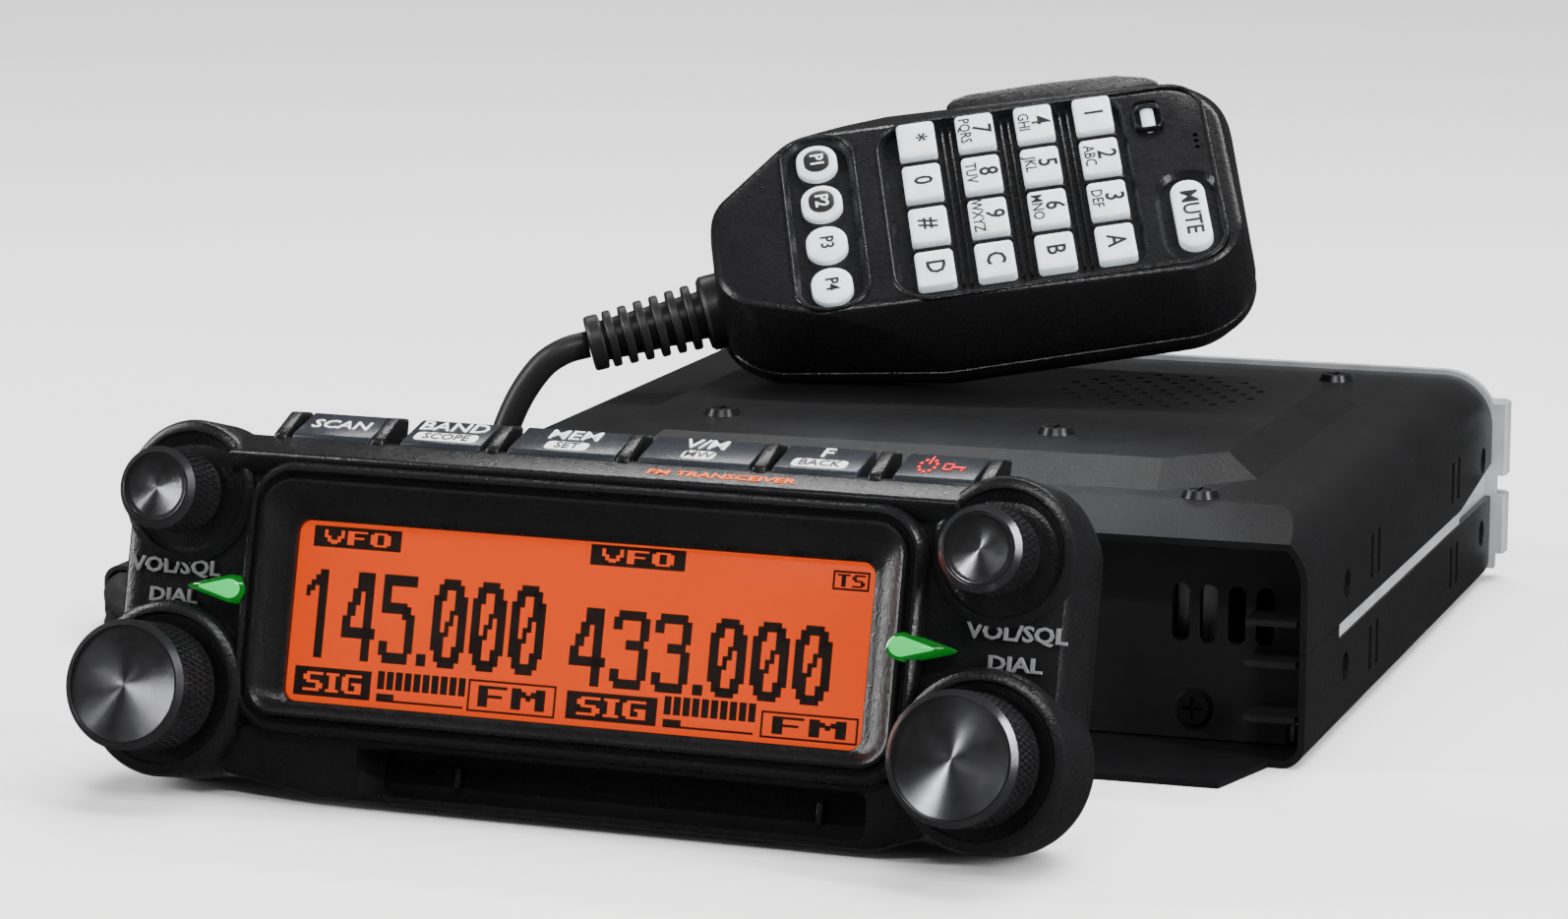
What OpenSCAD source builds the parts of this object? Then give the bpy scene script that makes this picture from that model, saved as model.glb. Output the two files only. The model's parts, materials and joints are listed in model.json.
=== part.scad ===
// Mobile radio set: a main unit, a control head on a tilting bracket and a hand microphone.
// Millimetres. +Z is up, the front faces -Y, and the origin is the centre of the main unit's base.

/* [Main unit] */
// Width of the covers
body_w = 139; // [124:1:168]
// Depth of the covers
body_d = 148; // [132:1:180]
// Height of the covers' flat top
body_h = 34.8; // [33:0.2:42]
// Sheet thickness of the covers
sheet = 1; // [0.8:0.1:1.4]
// Corner radius of the upper cover
top_r = 8.5; // [6:0.5:9]
// Corner radius of the lower cover
low_r = 3.5; // [2:0.5:5]
// Height of the seam between the covers
seam_z = 15.6; // [14:0.2:17]
// Height of the casting that shows in the seam
seam_h = 2.2; // [1.6:0.2:3]
// Height of the raised field on the upper cover
field_h = 2.7; // [2:0.1:3.5]
// Depth of the recess in front of the front plate
recess = 10; // [7:0.5:12]
// Reach of the lower cover's front tongue
tongue = 15; // [12:0.5:18]
// Radius of the fan
fan_r = 12; // [10:0.5:13]
// Radius of the threaded holes in the sides
side_hole_r = 1.65; // [1.25:0.05:2]

/* [Control head] */
// Width of the head's case
head_w = 139; // [132:1:160]
// Distance from the main unit's front to the display
head_gap = 61.9; // [56:0.5:70]
// Lean of the head, back from upright
head_tilt = 13.9; // [8:0.1:18]
// Turn of the head towards the left
head_yaw = -2.9; // [-5:0.1:5]
// Depth of the head's case behind the display
head_t = 15.5; // [14:0.5:18]
// Wall of the head's case
head_wall = 1.5; // [1.2:0.1:2]
// Width of the display's visible area
lcd_w = 84.8; // [70:0.2:86]
// Height of the display's visible area
lcd_h = 25; // [20:0.2:26]
// Distance between the left and right knobs
knob_span = 119.4; // [117:0.2:122]
// Radius of the small knobs
small_r = 5.75; // [5:0.05:6.8]
// Radius of the large knobs
large_r = 9; // [7.5:0.05:10.5]
// Height of the small knobs
small_len = 9.8; // [8:0.1:12]
// Height of the large knobs
large_len = 11.1; // [9:0.1:14]
// Radius of the knobs' shafts
shaft_r = 3; // [2.5:0.1:3.5]
// Travel of the top keys
key_travel = 0.6; // [0.4:0.1:0.8]
// Radius of the tilt pins
pin_r = 2; // [1.5:0.1:2.5]

/* [Microphone] */
// Spacing of the keypad along the microphone
pitch_u = 9.8; // [9.4:0.1:10]
// Spacing of the keypad across the microphone
pitch_v = 10.1; // [9.6:0.1:10.4]
// Length of a keypad key along the microphone
key_u = 6.3; // [5:0.1:7]
// Width of a keypad key across the microphone
key_v = 8; // [6.5:0.1:8.6]
// Wall of the microphone's case
mic_wall = 1.6; // [1.2:0.1:2]
// Travel of the microphone's keys
mic_travel = 0.7; // [0.4:0.1:0.9]
// Play around every key
play = 0.2; // [0.15:0.05:0.3]

/* [Cord] */
// Diameter of the microphone cord
cord_d = 4.5; // [4:0.1:5]

/* [Hidden] */
$fn = 48;
KEYPAD = ["1", "2", "3", "a", "4", "5", "6", "b", "7", "8", "9", "c", "star", "0", "hash", "d"];

e = 0.01;
fit = 0.05;             // running clearance of a pin or shaft, on the radius
front = -body_d / 2;
rear = body_d / 2;
seam_lo = seam_z - seam_h / 2;
seam_hi = seam_z + seam_h / 2;
seam_front = front + 23;        // the casting shows in the seam from here
seam_rear = rear - 28;          // to here
top_z = body_h + field_h;
nose_run = 18;          // the roof falls by nose_drop over this length at the front
nose_drop = 2.3;

// Raised field: half widths, front and rear ends of its foot and of its crest
foot_x = body_w / 2 - 16;
foot_y = [front + 24, rear - 22];
crest_x = foot_x - 6;
crest_y = [front + 36, rear - 31];

// Screws: through the top, and through the front plate
corner_screws = [for (s = [-1, 1]) [s * (body_w / 2 - 20.7), front + 21]];
rear_screws = [for (s = [-1, 1]) [s * (body_w / 2 - 24.5), rear - 12]];
field_screws = [[-35.5, front + 52.5], [18.7, front + 52.5]];
plate_screws = [for (s = [-1, 1]) [s * (body_w / 2 - 18.5), 5.8]];
screw_r = 1.4;
screw_head_r = 2.9;
screw_head_h = 1.1;
post_r = 3.2;

// Side holes for a mobile bracket
side_hole_y = [front + 28, rear - 8];
side_hole_z = [seam_z - 6.2, seam_z + 6.2];
vent_y = [front + 49, rear - 33];

// Speaker under its grille of holes
grille = [24, front + 99];
grille_r = 18;
grille_pitch = 4.4;

plate_y = front + recess;       // front face of the front plate
plate_t = 2;
plate_slots = [for (i = [0:3]) body_w / 2 - 22 + 4.15 * i];
slot_w = 2.6;
slot_z = [15.4, 24];
jack_x = [-36, -16];
jack_z = 16;
jack_open = [11.9, 8.2];

socket_x = 45;
socket_z = 17.5;
inlet_x = -45;
rim_t = 2;              // thickness of the casting's rear flange
rim_up = 0.8;           // how far it stands proud of the upper cover

// Control head: its own axes are x along it, y up its face, z out of its face, 0 at the display
head_turn = [90 - head_tilt, 0, head_yaw];
case_lo = -22.5;
case_hi = 23.5;
part_z = -11.5;         // the seam between the head's front and rear case
small_y = 15;
large_y = -12.4;
small_boss = [small_r + 4.6, 0.7];      // radius and height of the boss under a small knob
large_boss = [large_r + 3.3, 3.5];
boss_z = -8;            // the bosses stand on the case's curved edge from here
bench_gap = 0.3;        // height of the head's lowest edge over the bench
chin_y = [case_lo - 0.9, case_lo - 3.3];        // the chin's lowest edges, at part_z and at -2
head_feet = [[large_y - large_boss[0], boss_z], [chin_y[0], part_z], [chin_y[1], -2], [case_lo, part_z - 1.6],
    [case_lo + 0.6, -head_t]];
head_at = [-18.2, front - head_gap,
    bench_gap - min([for (p = head_feet) p.x * cos(head_tilt) + p.y * sin(head_tilt)])];
strip_x = knob_span / 2 - small_r - 0.6;        // half length of the sloping strip above the bezel
shaft_back = -5;
encoder_z = [part_z + 1.6, -3.4];
bezel = [-49.5, -17.2, 49.8, 20.4];     // left, bottom, right and top of the raised bezel
bezel_z = 3;
opening_z = 1.1;
key_spans = [[-46.4, -34.4], [-29.8, -17.8], [-13.7, 2.3], [5.6, 21.8], [25.1, 37.3], [42.3, 53.7]];
key_y = [19.8, 28];
key_z = [-10.6, -2.8];
fin_x = [-48.2, -32.1, -15.8, 4, 23.4, 39.9, 55.4];
pivot = [0, -3, -head_t - 5.5];         // tilt axis, along the head's x
lug_x = [13, 17];
ear_x = [17.2, 19.2];

// Microphone: its own axes are x towards its top end, y towards the talk bar, z out of the keypad
mic_at = [-2.2, front + 103, top_z + 31.3];
mic_turn = [37.3, -8.62, 17.5];
face_z = -0.3;
floor_z = -1.7;
mic_part_z = -14;
board_z = [-7.6, -6.2];
key_low = board_z[1] + mic_travel + 0.9;
p_key_at = [for (i = [0:3]) [-31.6, 13.6 - 9.63 * i]];
p_key = [6.8, 8.2, 3.3];
mute_at = [27.5, -11.5];
mute_key = [5.6, 15.4, 2.75];
lamp_at = [23.5, 12.2];
bar_x = [-9, 27];
bar_z = [-13.4, -8.2];
bar_pivot = [-6.6, 26];
bar_pin_r = 1;
relief_from = [-50.2, -6.4, -11.6];
relief_to = [-72.6, -9.6, -11.9];

// Microphone cord: the falling stretch, the coil and the stretch to the plug
coil_at = [-104, -32];
coil_r = 26;
fall = [[-68.5, 7.6, 42.8], [-71.7, 6.2, 41.9], [-75, 5.2, 39.8], [-77.8, 4.8, 36.4], [-79.8, 4.2, 32.8],
    [-81.6, 3.8, 28.4], [-83, 3.4, 23.6], [-84, 2.6, 18.8], [-84.8, 0.6, 14.4], [-85, -3.2, 11.2],
    [-84.4, -8.4, 9], [-83.2, -13.6, 7.2], [-81.5, -19, 6.8]];
lead = [[-78, -32, 2.3], [-78, -44, 2.3], [-78, -58, 2.3], [-77.8, -72, 2.3], [-77, -82, 2.3],
    [-74.4, -91, 2.3], [-69.2, -98, 2.3], [-62.4, -102.4, 2.4], [-55, -104.6, 3.2], [-48.6, -105, 5.4],
    [-43.2, -104.2, 8.8], [-38.8, -101.6, 12.8], [-36.6, -97.8, 15.2], [-36, -94, 16], [-36, -90.2, 16]];

// --- Shared shapes ---

module along_y(y0, y1) {
    translate([0, y1, 0]) rotate([90, 0, 0]) linear_extrude(y1 - y0) children();
}

module along_x(x0, x1) {
    translate([x0, 0, 0]) rotate([90, 0, 90]) linear_extrude(x1 - x0) children();
}

// Rounded rectangle, centred
module pill(w, h, r) {
    square([w - 2 * r, h], center = true);
    square([w, h - 2 * r], center = true);
    for (x = [-1, 1], y = [-1, 1]) translate([x * (w / 2 - r), y * (h / 2 - r)]) circle(r);
}

// Rounded rectangle from its corners
module frame2d(x0, y0, x1, y1, r) {
    translate([(x0 + x1) / 2, (y0 + y1) / 2]) pill(x1 - x0, y1 - y0, r);
}

// A cover's outline across the unit: flat at its base and rounded at its top corners
module arch(w, h, r) {
    translate([-w / 2, 0]) square([w, h - r]);
    translate([-w / 2 + r, 0]) square([w - 2 * r, h]);
    for (s = [-1, 1]) translate([s * (w / 2 - r), h - r]) circle(r);
}

module both_sides() {
    children();
    mirror([1, 0, 0]) children();
}

module in_head() translate(head_at) rotate(head_turn) children();

module in_mic() translate(mic_at) rotate(mic_turn) children();

function unit(v) = v / norm(v);
function tangent(p, i) = unit(p[min(i + 1, len(p) - 1)] - p[max(i - 1, 0)]);
function carried(p, i, n) = i == len(p) ? [] :
    let (t = tangent(p, i), m = unit(n - (n * t) * t)) concat([m], carried(p, i + 1, m));

// A round tube through the points of a route
module tube(p, d, sides = 10) {
    n = carried(p, 0, [0.1, 0.2, 1]);
    rings = [for (i = [0:len(p) - 1], k = [0:sides - 1])
        let (t = tangent(p, i), b = cross(t, n[i]), a = 360 * k / sides)
        p[i] + d / 2 * (cos(a) * n[i] + sin(a) * b)];
    walls = [for (i = [0:len(p) - 2], k = [0:sides - 1])
        let (a = i * sides + k, b = i * sides + (k + 1) % sides) [a, a + sides, b + sides, b]];
    last = (len(p) - 1) * sides;
    polyhedron(rings, concat(walls, [[for (k = [0:sides - 1]) k]],
        [[for (k = [sides - 1:-1:0]) last + k]]), convexity = 8);
}

// --- Main unit ---

function cut_corners(x, y, cut) = [[-x, y[0] + cut[1]], [-x + cut[0], y[0]], [x - cut[0], y[0]], [x,
    y[0] + cut[1]],
    [x, y[1] - cut[1]], [x - cut[0], y[1]], [-x + cut[0], y[1]], [-x, y[1] - cut[1]]];

// The raised field's block; down shifts it to the inside of the sheet
module field_block(down) {
    hull() {
        translate([0, 0, body_h - 0.5 - down]) linear_extrude(0.5)
            polygon(cut_corners(foot_x, foot_y, [12, 14]));
        translate([0, 0, top_z - 0.1 - down]) linear_extrude(0.1)
            polygon(cut_corners(crest_x, crest_y, [8, 9]));
    }
}

// The upper cover's solid shape, its roof falling towards the front; inset gives the inside of the sheet
module cover_block(inset, over, base) {
    intersection() {
        along_y(front - over, rear + over) arch(body_w - 2 * inset, body_h - inset, top_r - inset);
        along_x(-body_w, body_w) polygon([[front - over, base], [rear + over, base], [rear + over,
            body_h - inset],
            [front + nose_run, body_h - inset], [front, body_h - nose_drop - inset],
            [front - over, body_h - nose_drop - inset]]);
    }
}

module upper_cover() color([0.07, 0.07, 0.08]) difference() {
    union() {
        cover_block(0, 0, seam_hi);
        field_block(0);
    }
    cover_block(sheet, 1, 0);
    field_block(sheet);
    for (p = concat(corner_screws, rear_screws, field_screws))
        translate([p[0], p[1], body_h - 4]) cylinder(r = screw_r + play, h = 12);
    grille_holes();
    side_cuts(side_hole_z[1], seam_z + 7);
    both_sides() along_x(body_w / 2 - 2 * sheet, body_w / 2 + sheet)
        polygon([[seam_rear, seam_hi - e], [rear + e, seam_hi - e], [rear + e, seam_hi + 3.4]]);
}

module grille_holes() {
    steps = floor(grille_r / grille_pitch) + 1;
    for (i = [-steps:steps], j = [-steps:steps]) {
        p = [(i + (j % 2) / 2) * grille_pitch, j * grille_pitch * 0.87];
        if (norm(p) < grille_r - 1) translate([grille.x + p.x, grille.y + p.y, body_h - 2])
            cylinder(r = 0.8, h = 8, $fn = 16);
    }
}

// Holes in one cover's sides: for the mobile bracket's screws, and the vent slots
module side_cuts(hole_z, vent_z) {
    for (s = [-1, 1], y = side_hole_y)
        translate([s * body_w / 2, y, hole_z]) rotate([0, 90, 0])
            cylinder(r = side_hole_r + 0.6, h = 6, center = true);
    for (s = [-1, 1], y = vent_y, dy = [-2.6, 2.6])
        translate([s * body_w / 2 - 3, y + dy - 0.9, vent_z - 3.4]) cube([6, 1.8, 6.8]);
}

module lower_cover() color([0.06, 0.06, 0.07]) difference() {
    union() {
        along_y(front, rear) difference() {
            translate([0, seam_lo]) mirror([0, 1]) arch(body_w, seam_lo, low_r);
            translate([0, seam_lo + e]) mirror([0, 1])
                arch(body_w - 2 * sheet, seam_lo - sheet + e, low_r - sheet);
        }
        both_sides() translate([body_w / 2 - sheet, front, seam_lo - e])
            cube([sheet, seam_front - front, seam_h - 0.1]);
        linear_extrude(sheet) polygon([[-body_w / 2 + 5, front + 1], [-body_w / 2 + 9, front - tongue],
            [body_w / 2 - 9, front - tongue], [body_w / 2 - 5, front + 1]]);
    }
    for (x = bracket_holes()) translate([x, front - 8, -e]) cylinder(r = screw_r + play, h = 4);
    side_cuts(side_hole_z[0], seam_z - 7);
}

// The cast frame: floor, side rails, posts, and the flange, fins and lugs at the rear
module chassis() color([0.72, 0.73, 0.75]) {
    in_w = body_w - 2 * sheet - 0.2;
    cast_y = plate_y + plate_t + 0.2;
    difference() {
        union() {
            translate([-in_w / 2 + 3, cast_y, sheet + 0.2]) cube([in_w - 6, rear - cast_y, 2.4]);
            both_sides() {
                translate([in_w / 2 - 3, cast_y, low_r + 0.2])
                    cube([3, rear - cast_y, body_h - top_r - low_r - 1.4]);
                translate([in_w / 2 - e, seam_front, seam_lo + 0.1])
                    cube([sheet - 0.1, seam_rear - seam_front, seam_h - 0.2]);
                translate([in_w / 2 - 7, rear - 3, sheet + 0.2]) cube([5, 3, 4]);
            }
            for (p = concat(corner_screws, rear_screws)) post(p, body_h - sheet);
            for (p = field_screws) post(p, top_z - sheet);
            for (p = plate_screws) translate([p[0], plate_y + plate_t, p[1]]) rotate([-90, 0, 0])
                cylinder(r = post_r, h = 8);
            rear_wall();
        }
        for (p = concat(corner_screws, rear_screws)) post_bore(p, body_h - sheet);
        for (p = field_screws) post_bore(p, top_z - sheet);
        for (p = plate_screws) translate([p[0], plate_y + plate_t - e, p[1]]) rotate([-90, 0, 0])
            cylinder(r = screw_r + fit, h = 6);
        for (s = [-1, 1], y = side_hole_y, z = side_hole_z)
            translate([s * (in_w / 2 - 1.5), y, z]) rotate([0, 90, 0])
                cylinder(r = side_hole_r, h = 5, center = true);
        translate([0, rear - 6, socket_z]) rotate([-90, 0, 0]) cylinder(r = fan_r + 1.4, h = 20);
        translate([socket_x, rear - 6, socket_z]) rotate([-90, 0, 0]) cylinder(r = 6.2, h = 20);
        translate([inlet_x - 9.2, rear - 6, socket_z - 6.2]) cube([18.4, 20, 12.4]);
    }
    for (a = [45:90:315]) translate([0, rear - 2, socket_z]) rotate([0, a, 0])
        translate([5, 0, -1]) cube([fan_r - 3, 2, 2]);
    translate([0, rear - 2, socket_z]) rotate([-90, 0, 0]) cylinder(r = 6, h = 2);
}

module post(p, z) translate([p[0], p[1], sheet + 2]) cylinder(r = post_r, h = z - sheet - 2);

module post_bore(p, z) translate([p[0], p[1], z - 6]) cylinder(r = screw_r + fit, h = 7);

module rear_wall() {
    along_y(rear - 3, rear) translate([0, sheet + 0.2])
        arch(body_w - 2 * sheet - 0.6, body_h - 2 * sheet - 0.4, top_r - sheet);
    along_y(rear, rear + rim_t) difference() {
        arch(body_w + 2 * rim_up, body_h + rim_up, top_r + rim_up);
        translate([-body_w / 2 - 1, -1]) square([3, 3]);
        translate([body_w / 2 - 2, -1]) square([3, 3]);
    }
    for (x = [-60:5:60])
        if (abs(x) > fan_r + 4 && abs(x - socket_x) > 14 && abs(x - inlet_x) > 13)
            translate([x - 0.8, rear, 3]) cube([1.6, rim_t + 3.5, body_h - 7]);
    both_sides() for (z = [[4.6, 14.6], [18, 30.2]])
        translate([body_w / 2 - 3.5, rear, z[0]]) linear_extrude(z[1] - z[0])
            polygon([[0, 0], [5.6, 0], [5.9, 1], [5.9, 4.4], [4.6, 6.6], [0, 6.6]]);
}

module front_plate() color([0.05, 0.05, 0.055]) {
    w = body_w - 2 * sheet - 0.4;
    top = body_h - nose_drop - sheet - 0.9;
    difference() {
        union() {
            along_y(plate_y, plate_y + plate_t) translate([0, sheet + 0.2]) {
                translate([0, low_r]) arch(w, top - sheet - low_r, top_r - sheet);
                translate([-w / 2 + low_r, 0]) square([w - 2 * low_r, low_r + 1]);
            }
            both_sides() for (z = [6, 14, 20])
                translate([body_w / 2 - 9.5, front + 2.5, z]) cube([7.5, recess - 2.5 + e, 0.9]);
        }
        for (s = [-1, 1], x = plate_slots) along_y(plate_y - 1, plate_y + plate_t + 1)
            translate([s * (x + slot_w / 2), (slot_z[0] + slot_z[1]) / 2])
                pill(slot_w, slot_z[1] - slot_z[0], slot_w / 2 - e);
        for (p = plate_screws) translate([p[0], plate_y - 1, p[1]]) rotate([-90, 0, 0])
            cylinder(r = screw_r + play, h = 5);
        for (x = jack_x) translate([x - jack_open[0] / 2, plate_y - 1, jack_z - jack_open[1] / 2])
            cube([jack_open[0], 5, jack_open[1]]);
    }
}

// Sockets for the microphone and for the head's lead
module front_jacks() color([0.04, 0.04, 0.04]) for (x = jack_x) difference() {
    translate([x - 7.5, plate_y + plate_t, jack_z - 6.5]) cube([15, 13, 13]);
    translate([x - jack_open[0] / 2, plate_y, jack_z - jack_open[1] / 2])
        cube([jack_open[0], 12.5, jack_open[1]]);
}

module main_board() {
    y0 = plate_y + plate_t + 17;
    w = body_w - 20;
    d = rear - 18 - y0;
    color([0.05, 0.3, 0.15]) difference() {
        translate([-w / 2, y0, 8]) cube([w, d, 1.6]);
        for (p = concat(corner_screws, rear_screws, field_screws))
            translate([p[0], p[1], 7]) cylinder(r = post_r + 0.8, h = 4);
    }
    color([0.7, 0.7, 0.72]) {
        translate([-w / 2 + 6, y0 + 34, 9.6]) cube([34, 28, 5]);
        translate([w / 2 - 42, y0 + 4, 9.6]) cube([20, 12, 4]);
        translate([6, y0 + 32, 9.6]) cube([30, 20, 4.5]);
        for (i = [0:2]) translate([-8, y0 + 12 + 10 * i, 9.6]) cylinder(r = 4, h = 11);
    }
}

module speaker() color([0.1, 0.1, 0.1]) translate([grille.x, grille.y, top_z - sheet]) mirror([0, 0, 1])
    rotate_extrude() polygon([[0, 2.2], [5, 3.4], [15.4, 0.6], [15.4, 0], [grille_r - 0.5, 0],
        [grille_r - 0.5, 2.4],
        [grille_r - 3, 2.6], [9.5, 7], [9.5, 11.4], [0, 11.4]]);

module fan_motor() color([0.12, 0.12, 0.12]) translate([0, rear - 2, socket_z]) rotate([90, 0, 0]) {
    cylinder(r = 4.5, h = 1.5);
    cylinder(r = 1.2, h = 8.5);
}

module fan_rotor() color([0.06, 0.06, 0.06]) translate([0, rear - 3.9, socket_z]) rotate([90, 0, 0]) {
    difference() {
        cylinder(r = 5, h = 6);
        translate([0, 0, -1]) cylinder(r = 1.2 + fit, h = 9);
    }
    for (i = [0:6]) rotate([0, 0, i * 360 / 7]) translate([4.6, 0, 3]) rotate([35, 0, 0])
        translate([0, -2.6, -0.4]) cube([fan_r - 5.4, 5.2, 0.8]);
}

module antenna_socket() color([0.78, 0.78, 0.76]) translate([socket_x, rear + rim_t, socket_z])
    rotate([-90, 0, 0]) {
    difference() {
        union() {
            translate([0, 0, 0.8]) cube([22, 22, 1.6], center = true);
            cylinder(r = 7.94, h = 13);
            translate([0, 0, -6]) cylinder(r = 6, h = 7);
        }
        translate([0, 0, 3]) cylinder(r = 5.9, h = 12);
    }
    difference() {
        translate([0, 0, 2]) cylinder(r = 3.2, h = 9);
        translate([0, 0, 4]) cylinder(r = 2, h = 9);
    }
}

module power_inlet() color([0.1, 0.1, 0.1]) translate([inlet_x, rear, socket_z]) difference() {
    union() {
        translate([-9, -5.8, -6]) cube([18, 13.8, 12]);
        translate([-11, rim_t, -8]) cube([22, 1.6, 16]);
    }
    for (s = [-1, 1]) translate([s * 4.2 - 3.4, 0, -4.2]) cube([6.8, 12, 8.4]);
}

module screw() {
    difference() {
        cylinder(r1 = screw_head_r, r2 = screw_head_r - 0.5, h = screw_head_h);
        for (a = [0, 90]) rotate([0, 0, a]) translate([-1.6, -0.3, 0.3]) cube([3.2, 0.6, 2]);
    }
    translate([0, 0, -5]) cylinder(r = screw_r, h = 5 + e);
}

function bracket_holes() = [head_at.x - 9, head_at.x + 9];

module case_screws() color([0.09, 0.09, 0.09]) {
    for (p = concat(corner_screws, rear_screws)) translate([p[0], p[1], body_h]) screw();
    for (p = field_screws) translate([p[0], p[1], top_z]) screw();
    for (p = plate_screws) translate([p[0], plate_y, p[1]]) rotate([90, 0, 0]) screw();
    for (x = bracket_holes()) translate([x, front - 8, sheet + 1.8]) {
        cylinder(r = screw_head_r, h = screw_head_h);
        translate([0, 0, -2.6]) cylinder(r = screw_r, h = 2.7);
    }
}

// Where the tilt axis crosses the head's middle, in the main unit's axes
function tilt_at() = let (t = head_tilt, w = head_yaw,
    n = [sin(w) * cos(t), -cos(w) * cos(t), sin(t)], v = [-sin(w) * sin(t), cos(w) * sin(t), cos(t)])
    head_at + pivot.y * v + pivot.z * n;

// Steel bracket: a foot screwed to the tongue, and two ears that carry the head on pins
module head_bracket() color([0.08, 0.08, 0.085]) {
    at = tilt_at();
    foot_z = sheet + 0.2;
    reach = front - 3 - at.y;
    difference() {
        translate([at.x, at.y, foot_z]) rotate([0, 0, head_yaw]) {
            translate([-ear_x[1], 0, 0]) cube([2 * ear_x[1], reach, 1.6]);
            for (s = [-1, 1]) translate([s * (ear_x[0] + ear_x[1]) / 2 - 1, 0, 0]) {
                along_x(0, 2) polygon([[-4.4, at.z - foot_z], [-3.1, at.z - foot_z + 3.1], [0,
                    at.z - foot_z + 4.4],
                    [3.1, at.z - foot_z + 3.1], [4.4, at.z - foot_z], [14, 1.6], [14, 0], [0, 0], [-3, 6]]);
                translate([s > 0 ? -3.9 : 2 - e, 0, at.z - foot_z]) rotate([0, 90, 0])
                    cylinder(r = pin_r, h = 3.9);
            }
        }
        for (x = bracket_holes()) translate([x, front - 8, 0]) cylinder(r = screw_r + play, h = 6);
    }
}

// --- Control head ---

module head_outline(r = 9) frame2d(-head_w / 2, case_lo, head_w / 2, case_hi, r);

function knob_at(i) = [(i < 2 ? -1 : 1) * knob_span / 2, i % 2 == 0 ? small_y : large_y];
function knob_r(i) = i % 2 == 0 ? small_r : large_r;
function boss(i) = i % 2 == 0 ? small_boss : large_boss;

module head_front_case() color([0.07, 0.07, 0.08]) in_head() difference() {
    union() {
        translate([0, 0, part_z]) linear_extrude(-part_z) head_outline();
        for (i = [0:3]) translate([knob_at(i).x, knob_at(i).y, boss_z])
            cylinder(r = boss(i)[0], h = boss(i)[1] - boss_z);
        linear_extrude(bezel_z) frame2d(bezel[0], bezel[1], bezel[2], bezel[3], 7);
        along_x(-strip_x, strip_x) polygon([[18, 0], [20.6, 2], [case_hi, -2.4], [case_hi, -9], [18, -9]]);
        along_x(-39, 44.5) polygon([[case_lo + 2, 0], [case_lo + 2, part_z], [chin_y[0], part_z],
            [chin_y[1], -2], [chin_y[1] + 1.8, 0]]);
        for (x = fin_x) along_x(x - 0.9, x + 0.9)
            polygon([[22, -2.4], [24.6, -2.8], [28.2, -7.6], [28.2, -10.8], [22, -10.8]]);
    }
    translate([0, 0, part_z - 1]) linear_extrude(1 - part_z - head_wall) frame2d(-head_w / 2 + head_wall,
        case_lo + head_wall, head_w / 2 - head_wall, case_hi - head_wall, 7.5);
    translate([0, 0, -head_wall - e]) linear_extrude(head_wall + opening_z)
        frame2d(-lcd_w / 2 - 1, -lcd_h / 2 - 1,
        lcd_w / 2 + 1, lcd_h / 2 + 1, 2);
    translate([0, 0, -1]) linear_extrude(5) frame2d(-lcd_w / 2, -lcd_h / 2, lcd_w / 2, lcd_h / 2, 2);
    translate([0, 0, 2.2]) linear_extrude(5)
        frame2d(bezel[0] + 3.4, bezel[1] + 2.4, bezel[2] - 3.6, bezel[3] - 2.4, 5);
    for (i = [0:3]) translate([knob_at(i).x, knob_at(i).y, -9]) cylinder(r = shaft_r + 0.3, h = 20);
    for (k = key_spans) translate([k[0] - play, key_y[0] - key_travel - 1, key_z[0] - play])
        cube([k[1] - k[0] + 2 * play, 14, key_z[1] - key_z[0] + 2 * play]);
    lamp_shapes(play / 4);
    translate([-27.5, -26, -8]) cube([70, 5.4, 6.6]);
}

module head_rear_case() color([0.06, 0.06, 0.07]) in_head() difference() {
    union() {
        hull() {
            translate([0, 0, part_z - 1.6]) linear_extrude(1.6 - 0.1) head_outline();
            translate([0, 0, -head_t]) linear_extrude(1)
                frame2d(-head_w / 2 + 3, case_lo + 0.6, head_w / 2 - 3, case_hi - 3, 8);
        }
        for (s = [-1, 1]) translate([s * (lug_x[0] + lug_x[1]) / 2, 0, 0])
            along_x(-(lug_x[1] - lug_x[0]) / 2, (lug_x[1] - lug_x[0]) / 2)
                polygon([[pivot.y - 6, -head_t + 0.2], [pivot.y - 4, pivot.z - 1.6], [pivot.y - 1.6,
                    pivot.z - 4],
                    [pivot.y + 1.6, pivot.z - 4], [pivot.y + 4, pivot.z - 1.6], [pivot.y + 6,
                        -head_t + 0.2]]);
    }
    translate([0, 0, -head_t + head_wall]) linear_extrude(8) frame2d(-head_w / 2 + 5, case_lo + 3,
        head_w / 2 - 5, case_hi - 5, 6);
    translate([-ear_x[1] - 4, pivot.y, pivot.z]) rotate([0, 90, 0])
        cylinder(r = pin_r + fit, h = 2 * ear_x[1] + 8);
    translate([34, -6, -head_t - 1]) cube([9.8, 7, 4]);
}

module lcd_window() color([0.9, 0.9, 0.9, 0.3]) in_head() translate([0, 0, 0.1])
    linear_extrude(opening_z - 0.15)
    frame2d(-lcd_w / 2 - 0.8, -lcd_h / 2 - 0.8, lcd_w / 2 + 0.8, lcd_h / 2 + 0.8, 1.8);

module lcd_panel() color([0.95, 0.32, 0.1]) in_head() translate([-lcd_w / 2 - 3, -lcd_h / 2 - 1.4, -4.4])
    cube([lcd_w + 6, lcd_h + 2.8, 2.8]);

module head_board() color([0.05, 0.3, 0.15]) in_head() difference() {
    translate([0, 0, part_z + 0.2]) linear_extrude(1.4)
        frame2d(-head_w / 2 + 4, case_lo + 3, head_w / 2 - 4, key_y[0] - key_travel - 2, 3);
    for (s = [-1, 1]) translate([s * 40, 0, part_z]) cylinder(r = 1.6, h = 3);
}

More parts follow.
